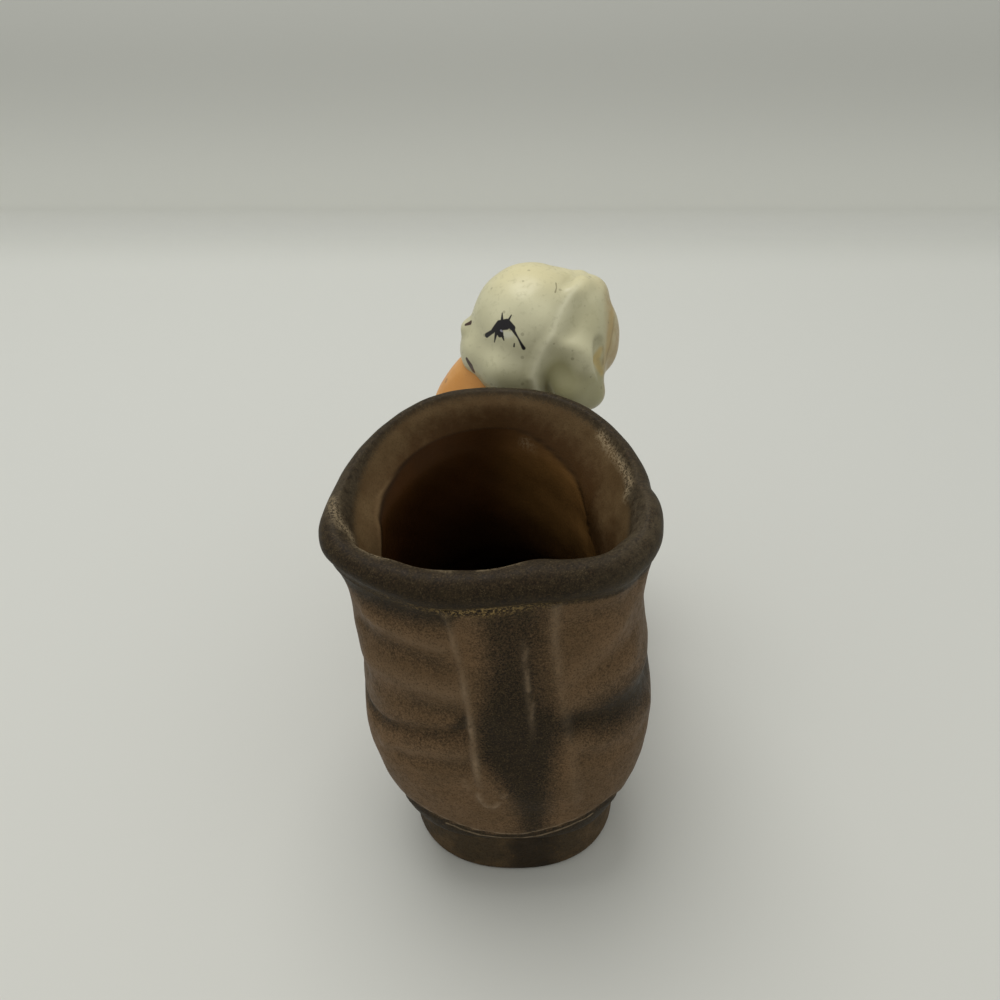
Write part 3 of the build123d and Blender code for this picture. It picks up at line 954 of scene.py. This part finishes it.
fold_line = laid_on(fold_places, 0.6 - fold_radius)
branch_line = laid_on(branch_places, 0.1 - fold_radius)
dent_radius = 4.4
dents = laid_on(((-6.2, 1.4),), dent_radius - 0.6) + laid_on(((-4.0, -7.4),), dent_radius - 0.7)
swelling_radius = 3.4
swelling = laid_on(((-5.6, -4.2),), 0.5 - swelling_radius)[0]
infill_radius = 1.4  # fills the pit behind the fold's lower end
infill = fold_line[-2] - AHEAD * 1.7 - OUT * 1.1
notch_line = laid_on(((-9.6, -2.6), (-9.3, -4.8), (-9.9, -7.0)), 0.25)


def ear_field(points):
    """The near ear: the flap, the fold down its front with a branch, hollows and a notch."""
    ear = melted(points, ear_lobes)
    fold = chain_field(points, fold_line, [fold_radius] * len(fold_line))
    branch = chain_field(points, branch_line, [fold_radius] * len(branch_line))
    ear = melt(ear, melt(fold, branch, 0.8), 1.6)
    ear = melt(ear, ball_field(points, swelling, swelling_radius), 1.6)
    for dent in dents:
        ear = carve(ear, ball_field(points, dent, dent_radius), 2.4)
    ear = melt(ear, ball_field(points, infill, infill_radius), 0.8)
    return carve(ear, chain_field(points, notch_line, [0.75, 0.95, 0.6]), 0.9)


def head_field(points):
    whole = melt(melted(points, skull_lobes), ear_field(points), 0.7)
    whole = melt(whole, ear_field(mirrored(points)), 0.7)
    x, y, z = np.moveaxis(points, -1, 0)
    return whole + 0.06 * np.sin(x * 0.9 + 1) * np.sin(y * 0.8 + z * 0.7)


head_reach = 17  # the net's box reaches so far round the head's middle
head_points, head_faces = surface_net(head_field, head - head_reach, head + head_reach, step=0.27)


# Brush lines on the near side of the head: each a run of places as ahead, lift and half width.
eye_lines = (
    ((6.85, -1.45, 0.36), (6.0, -0.9, 0.3)),
    ((6.0, -0.9, 0.32), (5.0, 0.25, 0.5), (3.9, 0.45, 0.5), (3.1, -0.35, 0.42)),
    ((3.1, -0.35, 0.4), (2.95, -0.7, 0.24)),
    ((3.0, -0.7, 0.24), (2.3, -1.8, 0.12), (1.5, -3.25, 0.28)),
    ((4.6, 0.6, 0.26), (4.58, 1.75, 0.08)),
    ((3.75, 0.6, 0.2), (3.28, 1.45, 0.08)),
    ((5.3, -0.3, 0.45), (5.4, -1.1, 0.34)),
    ((5.4, -0.9, 0.3), (5.7, -2.4, 0.07)),
    ((4.75, -0.9, 0.34), (4.35, -2.1, 0.1)),
    ((5.1, -0.1, 0.65), (4.0, -0.1, 0.55)),
    ((5.15, -0.7, 0.45), (4.95, -1.4, 0.35)),
    ((4.95, -1.25, 0.3), (4.5, -1.6, 0.2)),
    ((2.85, -2.6, 0.1), (2.9, -3.0, 0.13)),
)
eye_white = (((4.1, -1.35, 0.5), (3.4, -1.3, 0.4)),)
glint = (((4.75, -0.75, 0.15), (4.6, -0.85, 0.12)),)
brow_chip = (((-3.15, 6.0, 0.12), (-3.2, 5.3, 0.08), (-3.0, 4.7, 0.12)),)
nose_patch = (((10.0, 0.1, 0.2), (9.25, 0.4, 0.36)),)
mouth_line = (((9.8, -5.0, 0.34), (9.25, -5.9, 0.52), (8.85, -6.7, 0.4)),)
rim_top = ((-10.2, 6.8, 0.3), (-11.0, 5.4, 0.5), (-11.5, 3.4, 0.6), (-11.4, 0.8, 0.7))
rim_low = ((-11.1, -2.2, 0.8), (-10.5, -5.2, 0.7), (-10.3, -7.0, 0.3))
ear_rim = (rim_top + rim_low,)
notch_edge = (((-9.8, -3.4, 0.3), (-9.0, -4.9, 0.7), (-10.0, -7.0, 0.3)),)
ear_creases = (
    ((-11.9, 1.2, 0.06), (-11.5, -1.5, 0.12), (-10.9, -4.0, 0.12), (-10.45, -7.0, 0.1)),
    ((-10.1, -3.0, 0.06), (-10.2, -5.6, 0.16)),
)


def strokes_on(lines):
    """The strokes of lines on the near side: start, end, and the half width at each."""
    strokes = []
    for line in lines:
        spots = [(touch(head_field, ahead, lift), half) for ahead, lift, half in line]
        for (start, start_half), (end, end_half) in zip(spots, spots[1:]):
            strokes.append((start, end, start_half, end_half))
    return strokes


def painted(lines):
    """The strokes of lines on both cheeks, in metres."""
    strokes = []
    for start, end, start_half, end_half in strokes_on(lines):
        halves = (start_half * MM, end_half * MM)
        strokes.append((start * MM, end * MM, *halves))
        strokes.append((mirrored(start) * MM, mirrored(end) * MM, *halves))
    return strokes


def brushed_on(points, lines, soft):
    """1 under soft lines on the near side of the head, fading out over soft millimetres."""
    nearest = np.full(len(points), 1e9)
    for stroke_ends in strokes_on(lines):
        nearest = np.minimum(nearest, limb_field(points, *stroke_ends))
    return 1 - smooth_step(nearest, -soft, soft)


def hollow_of(field, points, reach=0.9):
    """How hollow or how sharp the surface is: positive in a crease, negative on a ridge."""
    slope = slope_of(field, points)
    slope /= np.maximum(np.linalg.norm(slope, axis=1, keepdims=True), 1e-6)
    return (reach - field(points + slope * reach)) / reach


head_local = head_points - head
back_way = head_local @ -AHEAD
side_way = np.abs(head_local @ SIDE)
up_way = head_local @ CROWN
ear_tan = smooth_step(back_way, 9.9, 11.4) * smooth_step(side_way, 0.5, 2.5)
ear_tan *= 1 - smooth_step(up_way, 7.5, 9.5)
back_tan = smooth_step(back_way, 8.0, 12.0) * (1 - smooth_step(side_way, 1.5, 4.0))
# Grey-olive tint and painted shade on the lower ears and under the cheeks, on both sides alike.
near_points = np.where((head_local @ SIDE)[:, None] > 0, head_points, mirrored(head_points))
near_side = near_points - head
face_ahead = near_side @ AHEAD
face_lift = near_side @ LIFT
fold_track = ((-7.0, 6.4), *fold_places[1:])  # the fold's line, from a little above its top
fold_aheads, fold_lifts = np.array(fold_track[::-1]).T
fold_gap = np.interp(face_lift, fold_lifts, fold_aheads) - face_ahead
on_ear = smooth_step(fold_gap, 0.3, 1.8)
ear_low = smooth_step(-face_lift, np.interp(fold_gap, (1, 4, 7), (3.6, 4.6, 5.8)), 8.0)
olive_tint_and_shade = (
    0.85 * ear_low * on_ear
    + 1.1 * bump(face_ahead, -3.9, 1.6) * bump(face_lift, -6.6, 2.2)
    + 0.55 * smooth_step(-face_lift, 4.0, 9.5) * (1 - on_ear)
    + 0.22 * bump(face_ahead, -9.4, 1.8) * bump(face_lift, 1.0, 3.5)
    + 0.14 * smooth_step(face_ahead, 5.0, 9.0)
    + 0.35
    * smooth_step(fold_gap, 0.6, 2.4)
    * bump(face_ahead, -6.6, 3.0)
    * bump(face_lift, 1.0, 3.0)
)
# Painted highlight along the front fold of each ear, where the glaze also runs thin.
ridge = bump(fold_gap, 0.0, 0.5) * smooth_step(-face_lift, -7.0, -4.0)
puppy_head = new_mesh(
    "puppy_head_shape",
    head_points,
    head_faces.tolist(),
    {
        "tan": np.clip(ear_tan + 0.5 * back_tan, 0, 1),
        "crown": smooth_step(up_way, 4.0, 9.5),
        "olive_tint_and_shade": np.clip(olive_tint_and_shade, 0, 1),
        "ridge": ridge,
        "ear_rim": brushed_on(near_points, ear_rim, 0.5),
        "notch": brushed_on(near_points, notch_edge, 0.3),
        "crease": brushed_on(near_points, ear_creases, 0.2),
        "hollow": np.clip(hollow_of(head_field, head_points) * 1.5, 0, 1),
    },
)

# --- Puppy body ----------------------------------------------------------------------------------
SEAT_SINK = 1.3  # how far the body is sunk into the boot's instep
DROP_FROM = 45.0  # where the rays start that find the instep
seat = np.array((0.5, seat_y, 25.0))
boot_tree = BVHTree.FromPolygons(
    [Vector(point) for point in skin.reshape(-1, 3)], grid_faces(len(skin), AROUND)
)
# The boot's height below the puppy, on a grid of whole millimetres.
top_x = np.arange(-24, 28, 1.0)
top_y = np.arange(14, 62, 1.0)
instep = np.full((len(top_x), len(top_y)), -50.0)
for i, spot_x in enumerate(top_x):
    for j, spot_y in enumerate(top_y):
        hit = boot_tree.ray_cast(Vector((spot_x, spot_y, DROP_FROM)), Vector((0, 0, -1)))[0]
        if hit is not None and hit.z < DROP_FROM - 1:
            instep[i, j] = hit.z


def instep_top(points):
    """Height of the boot's instep below points."""
    across = np.clip((points[..., 0] - top_x[0]), 0, len(top_x) - 1.001)
    along = np.clip((points[..., 1] - top_y[0]), 0, len(top_y) - 1.001)
    i, j = across.astype(int), along.astype(int)
    u, v = across - i, along - j
    return (
        instep[i, j] * (1 - u) * (1 - v)
        + instep[i + 1, j] * u * (1 - v)
        + instep[i, j + 1] * (1 - u) * v
        + instep[i + 1, j + 1] * u * v
    )


def paw_field(points, centre, radii):
    """A paw with two faint grooves between its toes, about 0.1 mm deep."""
    paw = egg_field(points, centre, radii)
    for spread in (-0.34, 0.34):
        groove = limb_field(
            points,
            centre + np.array((-radii[0] * 1.05, radii[1] * spread, radii[2] * 0.9)),
            centre + np.array((-radii[0] * 1.1, radii[1] * spread, -radii[2])),
            0.35,
            0.35,
        )
        paw = carve(paw, groove, 0.9)
    return paw


def body_field(points):
    body = egg_field(points, seat + (1.9, 0, 9.0), (12.4, 9.9, 13.0))
    chest = egg_field(points, seat + (-2.4, 0, 20.0), (11.0, 8.6, 13.0))
    body = melt(body, chest, 4.0)
    neck = limb_field(points, seat + (-3.2, 0.2, 24.0), seat + (0.4, 1.0, 35.0), 8.4, 6.4)
    body = melt(body, neck, 3.0)
    for side in (1, -1):
        haunch = egg_field(points, seat + (6.0, -8.4 * side, 6.2), (8.1, 4.7, 8.6))
        body = melt(body, haunch, 0.9)
        hind = limb_field(
            points, seat + (4.0, -9.6 * side, 1.0), seat + (-3.4, -9.4 * side, 1.2), 3.0, 2.6
        )
        hind = melt(hind, paw_field(points, seat + (-4.6, -9.4 * side, 1.4), (4.2, 3.5, 2.8)), 1.2)
        body = melt(body, hind, 0.8)
        leg = limb_field(
            points, seat + (-7.0, -4.3 * side, 18.5), seat + (-11.2, -4.4 * side, 1.5), 4.0, 3.1
        )
        leg = melt(leg, paw_field(points, seat + (-12.6, -4.4 * side, 0.4), (4.4, 3.7, 3.0)), 1.4)
        body = melt(body, leg, 0.9)
    tail = chain_field(
        points,
        [
            seat + (11.0, 1.0, 4.0),
            seat + (14.6, 0.2, 2.2),
            seat + (17.0, -2.4, 2.0),
            seat + (17.6, -5.4, 3.8),
            seat + (16.4, -7.6, 6.6),
        ],
        [2.6, 2.3, 2.1, 2.0, 1.6],
    )
    body = melt(body, tail, 1.4)
    x, y, z = np.moveaxis(points, -1, 0)
    uneven = 0.1 * np.sin(x * 0.6) * np.sin(y * 0.5 + z * 0.45)
    return np.maximum(body + uneven, instep_top(points) - SEAT_SINK - z)


body_low = seat + (-19, -16, -9)
body_high = seat + (22, 16, 38)
body_points, body_faces = surface_net(body_field, body_low, body_high, step=0.36)
body_local = body_points - seat
paws = np.maximum(
    smooth_step(-body_local[:, 0], 9.5, 13.5) * (1 - smooth_step(body_local[:, 2], 2.5, 7.5)),
    smooth_step(-body_local[:, 0], 2.0, 6.5)
    * smooth_step(np.abs(body_local[:, 1]), 5.8, 7.5)
    * (1 - smooth_step(body_local[:, 2], 2.5, 5.5)),
)
tail_tip = smooth_step(body_local[:, 0], 12, 16) * smooth_step(body_local[:, 2], 4.5, 7.5)
puppy_body = new_mesh(
    "puppy_body_shape",
    body_points,
    body_faces.tolist(),
    {
        "pale": np.clip(np.maximum(paws, tail_tip), 0, 1),
        "hollow": np.clip(hollow_of(body_field, body_points) * 1.3, 0, 1),
    },
)


# --- Materials -----------------------------------------------------------------------------------
def colour(red, green, blue):
    """Linear colour, with alpha, from 0 to 255 sRGB values."""
    linear = []
    for value in (red, green, blue):
        share = value / 255
        linear.append(share / 12.92 if share <= 0.04045 else ((share + 0.055) / 1.055) ** 2.4)
    return (*linear, 1.0)


class Paint:
    """A node material. Its methods take sockets, plain values or the names of a mesh's masks."""

    def __init__(self, name, roughness, specular, coat=0.0):
        self.material = bpy.data.materials.new(name)
        self.material.use_nodes = True
        self.tree = self.material.node_tree
        self.shader = self.tree.nodes["Principled BSDF"]
        self.shader.inputs["Roughness"].default_value = roughness
        self.shader.inputs["Specular IOR Level"].default_value = specular
        self.shader.inputs["Coat Weight"].default_value = coat
        self.shader.inputs["Coat Roughness"].default_value = 0.35
        self.place = self.tree.nodes.new("ShaderNodeTexCoord").outputs["Object"]

    def put(self, socket, value):
        """Links a socket or a mask, or sets a plain value."""
        if isinstance(value, str):
            value = self.node("ShaderNodeAttribute", attribute_name=value).outputs["Fac"]
        if isinstance(value, bpy.types.NodeSocket):
            self.tree.links.new(value, socket)
        else:
            socket.default_value = value

    def node(self, kind, inputs=None, **settings):
        """A new node with its settings, and its inputs by their names or numbers."""
        made = self.tree.nodes.new(kind)
        for name, value in settings.items():
            setattr(made, name, value)
        for name, value in (inputs or {}).items():
            self.put(made.inputs[name], value)
        return made

    def moved(self, *shift):
        """The place on the piece, moved, so that no two noises line up."""
        mapping = self.node("ShaderNodeMapping", {"Vector": self.place, "Location": shift})
        return mapping.outputs["Vector"]

    def axis(self, name):
        return self.node("ShaderNodeSeparateXYZ", {0: self.place}).outputs[name]

    def noise(self, size, detail=3.0, rough=0.55, offset=0.0):
        """Noise whose patches are about size millimetres across."""
        inputs = {
            "Vector": self.moved(offset, offset * 0.7, -offset),
            "Scale": 1 / (size * MM),
            "Detail": detail,
            "Roughness": rough,
        }
        return self.node("ShaderNodeTexNoise", inputs).outputs["Fac"]

    def math(self, operation, *values, clamp=False):
        inputs = dict(enumerate(values))
        return self.node("ShaderNodeMath", inputs, operation=operation, use_clamp=clamp).outputs[0]

    def times(self, first, second):
        return self.math("MULTIPLY", first, second)

    def broken(self, mask, noise, amount):
        """A mask with its edge broken up by noise."""
        return self.math("MULTIPLY_ADD", self.math("SUBTRACT", noise, 0.5), amount, mask)

    def ramp(self, value, low, high, to_low=0.0, to_high=1.0, smooth=True):
        """From to_low, where value is low, to to_high, where it is high."""
        inputs = {
            "Value": value,
            "From Min": low,
            "From Max": high,
            "To Min": to_low,
            "To Max": to_high,
        }
        kind = "SMOOTHSTEP" if smooth else "LINEAR"
        return self.node("ShaderNodeMapRange", inputs, interpolation_type=kind).outputs["Result"]

    def mix(self, share, first, second):
        """The first colour where share is 0 and the second where it is 1."""
        tints = [colour(*tint) if isinstance(tint, tuple) else tint for tint in (first, second)]
        inputs = {0: share, 6: tints[0], 7: tints[1]}
        return self.node("ShaderNodeMix", inputs, data_type="RGBA", clamp_factor=True).outputs[2]

    def coats(self, base, *coats):
        """The base colour under coats: each a tint, where it lies and, below 1, its strength."""
        for tint, share, *strength in coats:
            base = self.mix(self.times(share, strength[0]) if strength else share, base, tint)
        return base

    def specks(self, size, share, offset=0.0):
        """Scattered round specks: 1 in a speck. share is how many cells hold one."""
        inputs = {"Vector": self.moved(offset, -offset, offset * 0.3), "Scale": 1 / (size * MM)}
        cells = self.node("ShaderNodeTexVoronoi", inputs)
        split = self.node("ShaderNodeSeparateColor", {"Color": cells.outputs["Color"]})
        chosen = self.math("LESS_THAN", split.outputs["Red"], share)
        size_here = self.ramp(split.outputs["Green"], 0, 1, 0.1, 0.26)
        edge = self.math("SUBTRACT", cells.outputs["Distance"], size_here)
        return self.times(chosen, self.ramp(edge, 0, 0.08, 1, 0))

    def vector(self, operation, *values):
        inputs = dict(enumerate(values))
        return self.node("ShaderNodeVectorMath", inputs, operation=operation).outputs

    def strokes(self, lines, soft=0.07 * MM):
        """1 under any of the brush lines, with a soft edge."""
        nearest = None
        for start, end, start_half, end_half in lines:
            along = np.array(end) - np.array(start)
            offset = self.vector("SUBTRACT", self.place, tuple(start))[0]
            dot = self.vector("DOT_PRODUCT", offset, tuple(along / (along @ along)))["Value"]
            share = self.math("ADD", dot, 0.0, clamp=True)
            scale = {0: tuple(along), "Scale": share}
            run = self.node("ShaderNodeVectorMath", scale, operation="SCALE").outputs[0]
            gap = self.vector("DISTANCE", offset, run)["Value"]
            reach = self.math("MULTIPLY_ADD", share, end_half - start_half, start_half)
            here = self.math("SUBTRACT", gap, reach)
            nearest = here if nearest is None else self.math("MINIMUM", nearest, here)
        return self.ramp(nearest, -soft, soft, 1, 0)

    def finish(self, base, height, strength, distance, roughness=None):
        """The material, with its colour, the relief of height, and its roughness if it varies."""
        inputs = {"Strength": strength, "Distance": distance * MM, "Height": height}
        relief_normal = self.node("ShaderNodeBump", inputs).outputs["Normal"]
        self.put(self.shader.inputs["Base Color"], base)
        self.put(self.shader.inputs["Normal"], relief_normal)
        if roughness is not None:
            self.put(self.shader.inputs["Roughness"], roughness)
        return self.material


def skin_place(across, height):
    """The point on the back of the boot at x and z, in metres."""
    gap = np.where(is_outer & (y < -8), (x - across) ** 2 + (z - height) ** 2, 1e9).ravel()
    nearest = np.argsort(gap)[:8]
    share = 1 / (gap[nearest] + 0.02)
    return (skin.reshape(-1, 3)[nearest] * share[:, None]).sum(axis=0) / share.sum() * MM


def seam_strokes(start, end, drop, width):
    """Thin lines along the seam, from one x to another, drop millimetres below it."""
    places = [
        skin_place(across, float(np.interp(across, seam_x, seam_z)) - drop)
        for across in np.linspace(start, end, 1 + round(end - start))
    ]
    return [(first, second, width * MM, width * MM) for first, second in zip(places, places[1:])]


def glaze_noises(paint, offset):
    """The fine and the grainy noise of the brown glazes, and the height of their relief."""
    fine = paint.noise(0.9, 4, 0.7, offset)
    grain = paint.noise(0.27, 2, 0.8, offset + 1.2)
    return fine, grain, paint.math("ADD", paint.times(fine, 0.7), paint.times(grain, 0.4))


def boot_paint():
    paint = Paint("boot_glaze", roughness=0.55, specular=0.09)
    fine, grain, height = glaze_noises(paint, 1.1)
    broad = paint.noise(9, 2, offset=0.3)
    brown = paint.coats(
        paint.mix(paint.ramp(broad, 0.35, 0.65), (96, 75, 51), (108, 84, 58)),
        ((66, 51, 34), paint.ramp(fine, 0.35, 0.75, 0, 0.4)),
        # painted highlight on the leather's puffs
        ((128, 105, 80), "pale", 0.5),
        ((48, 37, 24), paint.ramp(grain, 0.5, 0.66, 0, 0.32)),
        ((130, 106, 80), paint.ramp(grain, 0.5, 0.36, 0, 0.2)),
    )
    umber = paint.coats(
        paint.mix(paint.ramp(fine, 0.35, 0.65), (35, 28, 18), (49, 40, 26)),
        ((16, 12, 8), paint.ramp(grain, 0.5, 0.64, 0, 0.7)),
    )
    # Painted shade: the lip darkens going down towards the ledge.
    low = paint.ramp(paint.broken("low", paint.noise(3.0, 3, 0.7, 8.2), 1.2), 0.05, 0.95)
    lip = paint.coats(
        paint.mix(paint.ramp(paint.noise(4, 3, 0.6, 5.5), 0.35, 0.65), (102, 82, 55), (90, 70, 45)),
        ((64, 42, 19), low, 0.9),
        ((52, 40, 24), paint.ramp(grain, 0.5, 0.66, 0, 0.3)),
    )
    # The wash inside the well, lighter on its +x side as painted light and darker further down as
    # painted shade.
    wash = paint.coats(
        paint.mix("painted_lit_side", (55, 32, 9), (146, 108, 60)),
        ((40, 26, 10), paint.ramp(paint.noise(6, 3, 0.6, 5.0), 0.35, 0.7, 0, 0.3)),
        ((24, 13, 5), "deep"),
    )
    # The airbrushed umber, which also carries the painted shade under the rim, along the creases
    # and in the puffs' valleys.
    spray_and_shade = paint.broken(paint.broken("brushed_and_shade", grain, 1.5), fine, 0.6)
    dust = paint.ramp(paint.noise(0.19, 2, 0.8, offset=7.1), 0.44, 0.34)
    rubbed = paint.ramp(paint.noise(0.8, 3, 0.7, 4.0), 0.3, 0.6, 0.45, 1)
    seam_lines = seam_strokes(-14.0, 13.6, 0.0, 0.2) + seam_strokes(-10.0, 11.0, 1.45, 0.14)
    seam_light = paint.times(paint.strokes(seam_lines, soft=0.1 * MM), rubbed)
    gold_specks = paint.ramp(paint.noise(0.36, 4, 0.8), 0.48, 0.6)
    chipped = paint.ramp(paint.noise(0.42, 3, 0.9, 6.0), 0.42, 0.56)
    base = paint.coats(
        brown,
        (umber, paint.ramp(spray_and_shade, 0.05, 0.9, smooth=False), 0.97),
        ((104, 90, 66), paint.times(dust, paint.ramp(fine, 0.4, 0.62)), 0.5),
        ((100, 90, 72), paint.times("dusty", paint.ramp(fine, 0.3, 0.6, 0.3, 1)), 0.32),
        ((144, 120, 76), paint.times("gold", gold_specks)),
        ((146, 125, 100), paint.times("worn", rubbed), 0.75),
        ((140, 122, 98), seam_light, 0.7),
        (lip, paint.ramp(paint.broken("lip", grain, 1.4), 0.15, 0.85)),
        (wash, "inside"),
        # painted shade below the ledge and painted highlight on its edge
        ((34, 22, 10), "ledge_crease_shade", 0.65),
        ((124, 100, 70), "ledge_edge_highlight", 0.45),
        ((160, 142, 112), paint.times("scuffed", chipped), 0.85),
    )
    return paint.finish(base, height, 0.5, 0.14, paint.ramp(fine, 0.3, 0.7, 0.45, 0.62))


def heel_paint(name):
    paint = Paint(name, roughness=0.55, specular=0.1)
    fine, grain, height = glaze_noises(paint, 1.7)
    across = paint.math("ABSOLUTE", paint.math("SUBTRACT", paint.axis("X"), 2.4 * MM))
    drip = paint.ramp(paint.broken(across, fine, 4 * MM), 1.5 * MM, 5.5 * MM, 0.8, 0)
    base = paint.coats(
        paint.mix(paint.ramp(paint.noise(5, 2), 0.4, 0.62), (66, 54, 37), (86, 69, 47)),
        ((30, 24, 17), drip),
        ((26, 21, 14), paint.ramp(grain, 0.5, 0.66, 0, 0.6)),
        ((104, 84, 56), paint.ramp(fine, 0.6, 0.72, 0, 0.35)),
    )
    return paint.finish(base, height, 0.45, 0.14, paint.ramp(fine, 0.3, 0.7, 0.5, 0.7))


def head_paint():
    paint = Paint("puppy_ivory", roughness=0.38, specular=0.35, coat=0.08)
    broad = paint.noise(7, 2, offset=0.9)
    fine = paint.noise(0.8, 3, 0.6, offset=3.1)
    uneven = paint.ramp(paint.noise(2.4, 3, 0.6, 2.2), 0.3, 0.7, 0.5, 1)
    base = paint.coats(
        paint.mix(paint.ramp(broad, 0.35, 0.65), (193, 189, 156), (204, 200, 166)),
        ((210, 200, 154), "crown", 0.75),
        # grey-olive tint and painted shade on the lower face and ears
        ((136, 131, 88), "olive_tint_and_shade", 0.78),
        ((138, 132, 98), "hollow", 0.6),
        ((156, 122, 68), paint.times("tan", uneven), 0.75),
        # painted highlight along each ear's front fold
        ((218, 214, 182), "ridge", 0.8),
        ((174, 148, 92), "ear_rim", 0.6),
        ((184, 162, 102), "notch", 0.8),
        ((110, 88, 48), "crease", 0.6),
        ((112, 104, 76), paint.strokes(painted(brow_chip)), 0.7),
        ((96, 88, 66), paint.specks(0.9, 0.1), 0.35),
        ((150, 146, 112), paint.ramp(fine, 0.52, 0.72, 0, 0.26)),
        ((70, 50, 40), paint.strokes(painted(mouth_line))),
        ((64, 44, 34), paint.strokes(painted(nose_patch))),
        ((214, 214, 196), paint.strokes(painted(eye_white), soft=0.3 * MM), 0.6),
        ((22, 19, 22), paint.strokes(painted(eye_lines))),
        ((150, 148, 160), paint.strokes(painted(glint))),
    )
    rough = paint.ramp(fine, 0.3, 0.7, 0.3, 0.44)
    return paint.finish(base, paint.math("ADD", fine, broad), 0.15, 0.12, rough)


def body_paint():
    paint = Paint("puppy_tan", roughness=0.45, specular=0.4, coat=0.08)
    broad = paint.noise(6, 2, offset=0.2)
    fine = paint.noise(0.8, 3, 0.6, offset=1.4)
    grain = paint.noise(0.24, 2, 0.8, offset=0.6)
    base = paint.coats(
        paint.mix(paint.ramp(broad, 0.35, 0.65), (196, 136, 66), (210, 152, 82)),
        ((168, 108, 48), paint.ramp(grain, 0.55, 0.75, 0, 0.3)),
        ((150, 84, 42), "hollow", 0.6),
        ((214, 206, 174), paint.ramp(paint.broken("pale", grain, 0.6), 0.2, 0.85), 0.85),
        ((90, 60, 38), paint.specks(1.7, 0.1, 0.4), 0.4),
    )
    rough = paint.ramp(fine, 0.3, 0.7, 0.38, 0.52)
    return paint.finish(base, paint.math("ADD", fine, broad), 0.15, 0.12, rough)


boot.data.materials.append(boot_paint())
heel.data.materials.append(heel_paint("heel_glaze"))
sole.data.materials.append(heel_paint("outsole_glaze"))
puppy_head.data.materials.append(head_paint())
puppy_body.data.materials.append(body_paint())

for piece, slot, nodes in (
    (boot, "boot_brown", ("boot_upper", "rim_roll", "back_strap")),
    (heel, "sole_umber", ("heel_block",)),
    (sole, "sole_umber", ("outsole",)),
    (puppy_head, "puppy_ivory", ("puppy_head", "puppy_ear_near", "puppy_ear_far")),
    (
        puppy_body,
        "puppy_tan",
        (
            "puppy_torso",
            "puppy_foreleg_near",
            "puppy_foreleg_far",
            "puppy_hind_leg_near",
            "puppy_hind_leg_far",
            "puppy_tail",
        ),
    ),
):
    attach(piece, "root")
    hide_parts(*nodes)

# --- Camera, floor and light ---------------------------------------------------------------------
camera = bpy.data.objects.new("camera", bpy.data.cameras.new("camera"))
bpy.context.scene.collection.objects.link(camera)
camera.location = (-0.0023, -0.1205, 0.1684)  # metres, as the lamp's place is
camera.rotation_euler = (radians(48), 0, 0)
camera.data.lens = 45
camera.data.sensor_width = 36
camera.data.clip_start = 0.005
bpy.context.scene.camera = camera

# The floor sweeps up into the backdrop in one sheet.
sheet_reach = 1200.0
backdrop_y = 174.0
bend_radius = 6.0
profile = [(-sheet_reach, 0.0), (-400.0, 0.0), (0.0, 0.0), (backdrop_y - bend_radius, 0.0)]
for bend in np.linspace(0.1, 0.9, 9) * pi / 2:
    profile.append((backdrop_y - bend_radius * (1 - sin(bend)), bend_radius * (1 - cos(bend))))
profile += [(backdrop_y, bend_radius), (backdrop_y, 66.0), (backdrop_y + 20, 80.0)]
profile += [(sheet_reach, 700.0)]
sides = np.linspace(-sheet_reach, sheet_reach, 9)
sheet_points = [(side, along, up) for along, up in profile for side in sides]
width = len(sides)
sheet_faces = [
    (i * width + j, i * width + j + 1, (i + 1) * width + j + 1, (i + 1) * width + j)
    for i in range(len(profile) - 1)
    for j in range(width - 1)
]
backdrop = new_mesh("backdrop", sheet_points, sheet_faces)


def backdrop_paint():
    paint = Paint("backdrop_paper", roughness=0.85, specular=0.15)
    floor = paint.mix(paint.ramp(paint.axis("Y"), -0.1, 0.1), (210, 210, 203), (205, 206, 200))
    # The backdrop's upright part is painted lighter at its foot and darker higher up: painted light
    # and shade.
    shaded_upright = paint.mix(paint.ramp(paint.axis("Z"), 0, 0.05), (228, 229, 223), (190, 191, 185))
    base = paint.mix(paint.ramp(paint.axis("Z"), 0, 0.008), floor, shaded_upright)
    return paint.finish(base, paint.noise(1.2, 3), 0.05, 0.1)


backdrop.data.materials.append(backdrop_paint())

world = bpy.data.worlds.new("studio")
bpy.context.scene.world = world
world.use_nodes = True
studio = world.node_tree.nodes["Background"]
studio.inputs["Color"].default_value = (1.0, 1.0, 0.97, 1.0)
studio.inputs["Strength"].default_value = 0.56

lamp_place = Vector((-0.08, 0.13, 0.5))
lamp_aim = Vector((0, 0.02, 0.03))
lamp = bpy.data.objects.new("overhead", bpy.data.lights.new("overhead", "AREA"))
bpy.context.scene.collection.objects.link(lamp)
lamp.location = lamp_place
lamp.rotation_euler = (lamp_aim - lamp_place).to_track_quat("-Z", "Y").to_euler()
lamp.data.shape = "DISK"
lamp.data.size = 0.35
lamp.data.energy = 1.3
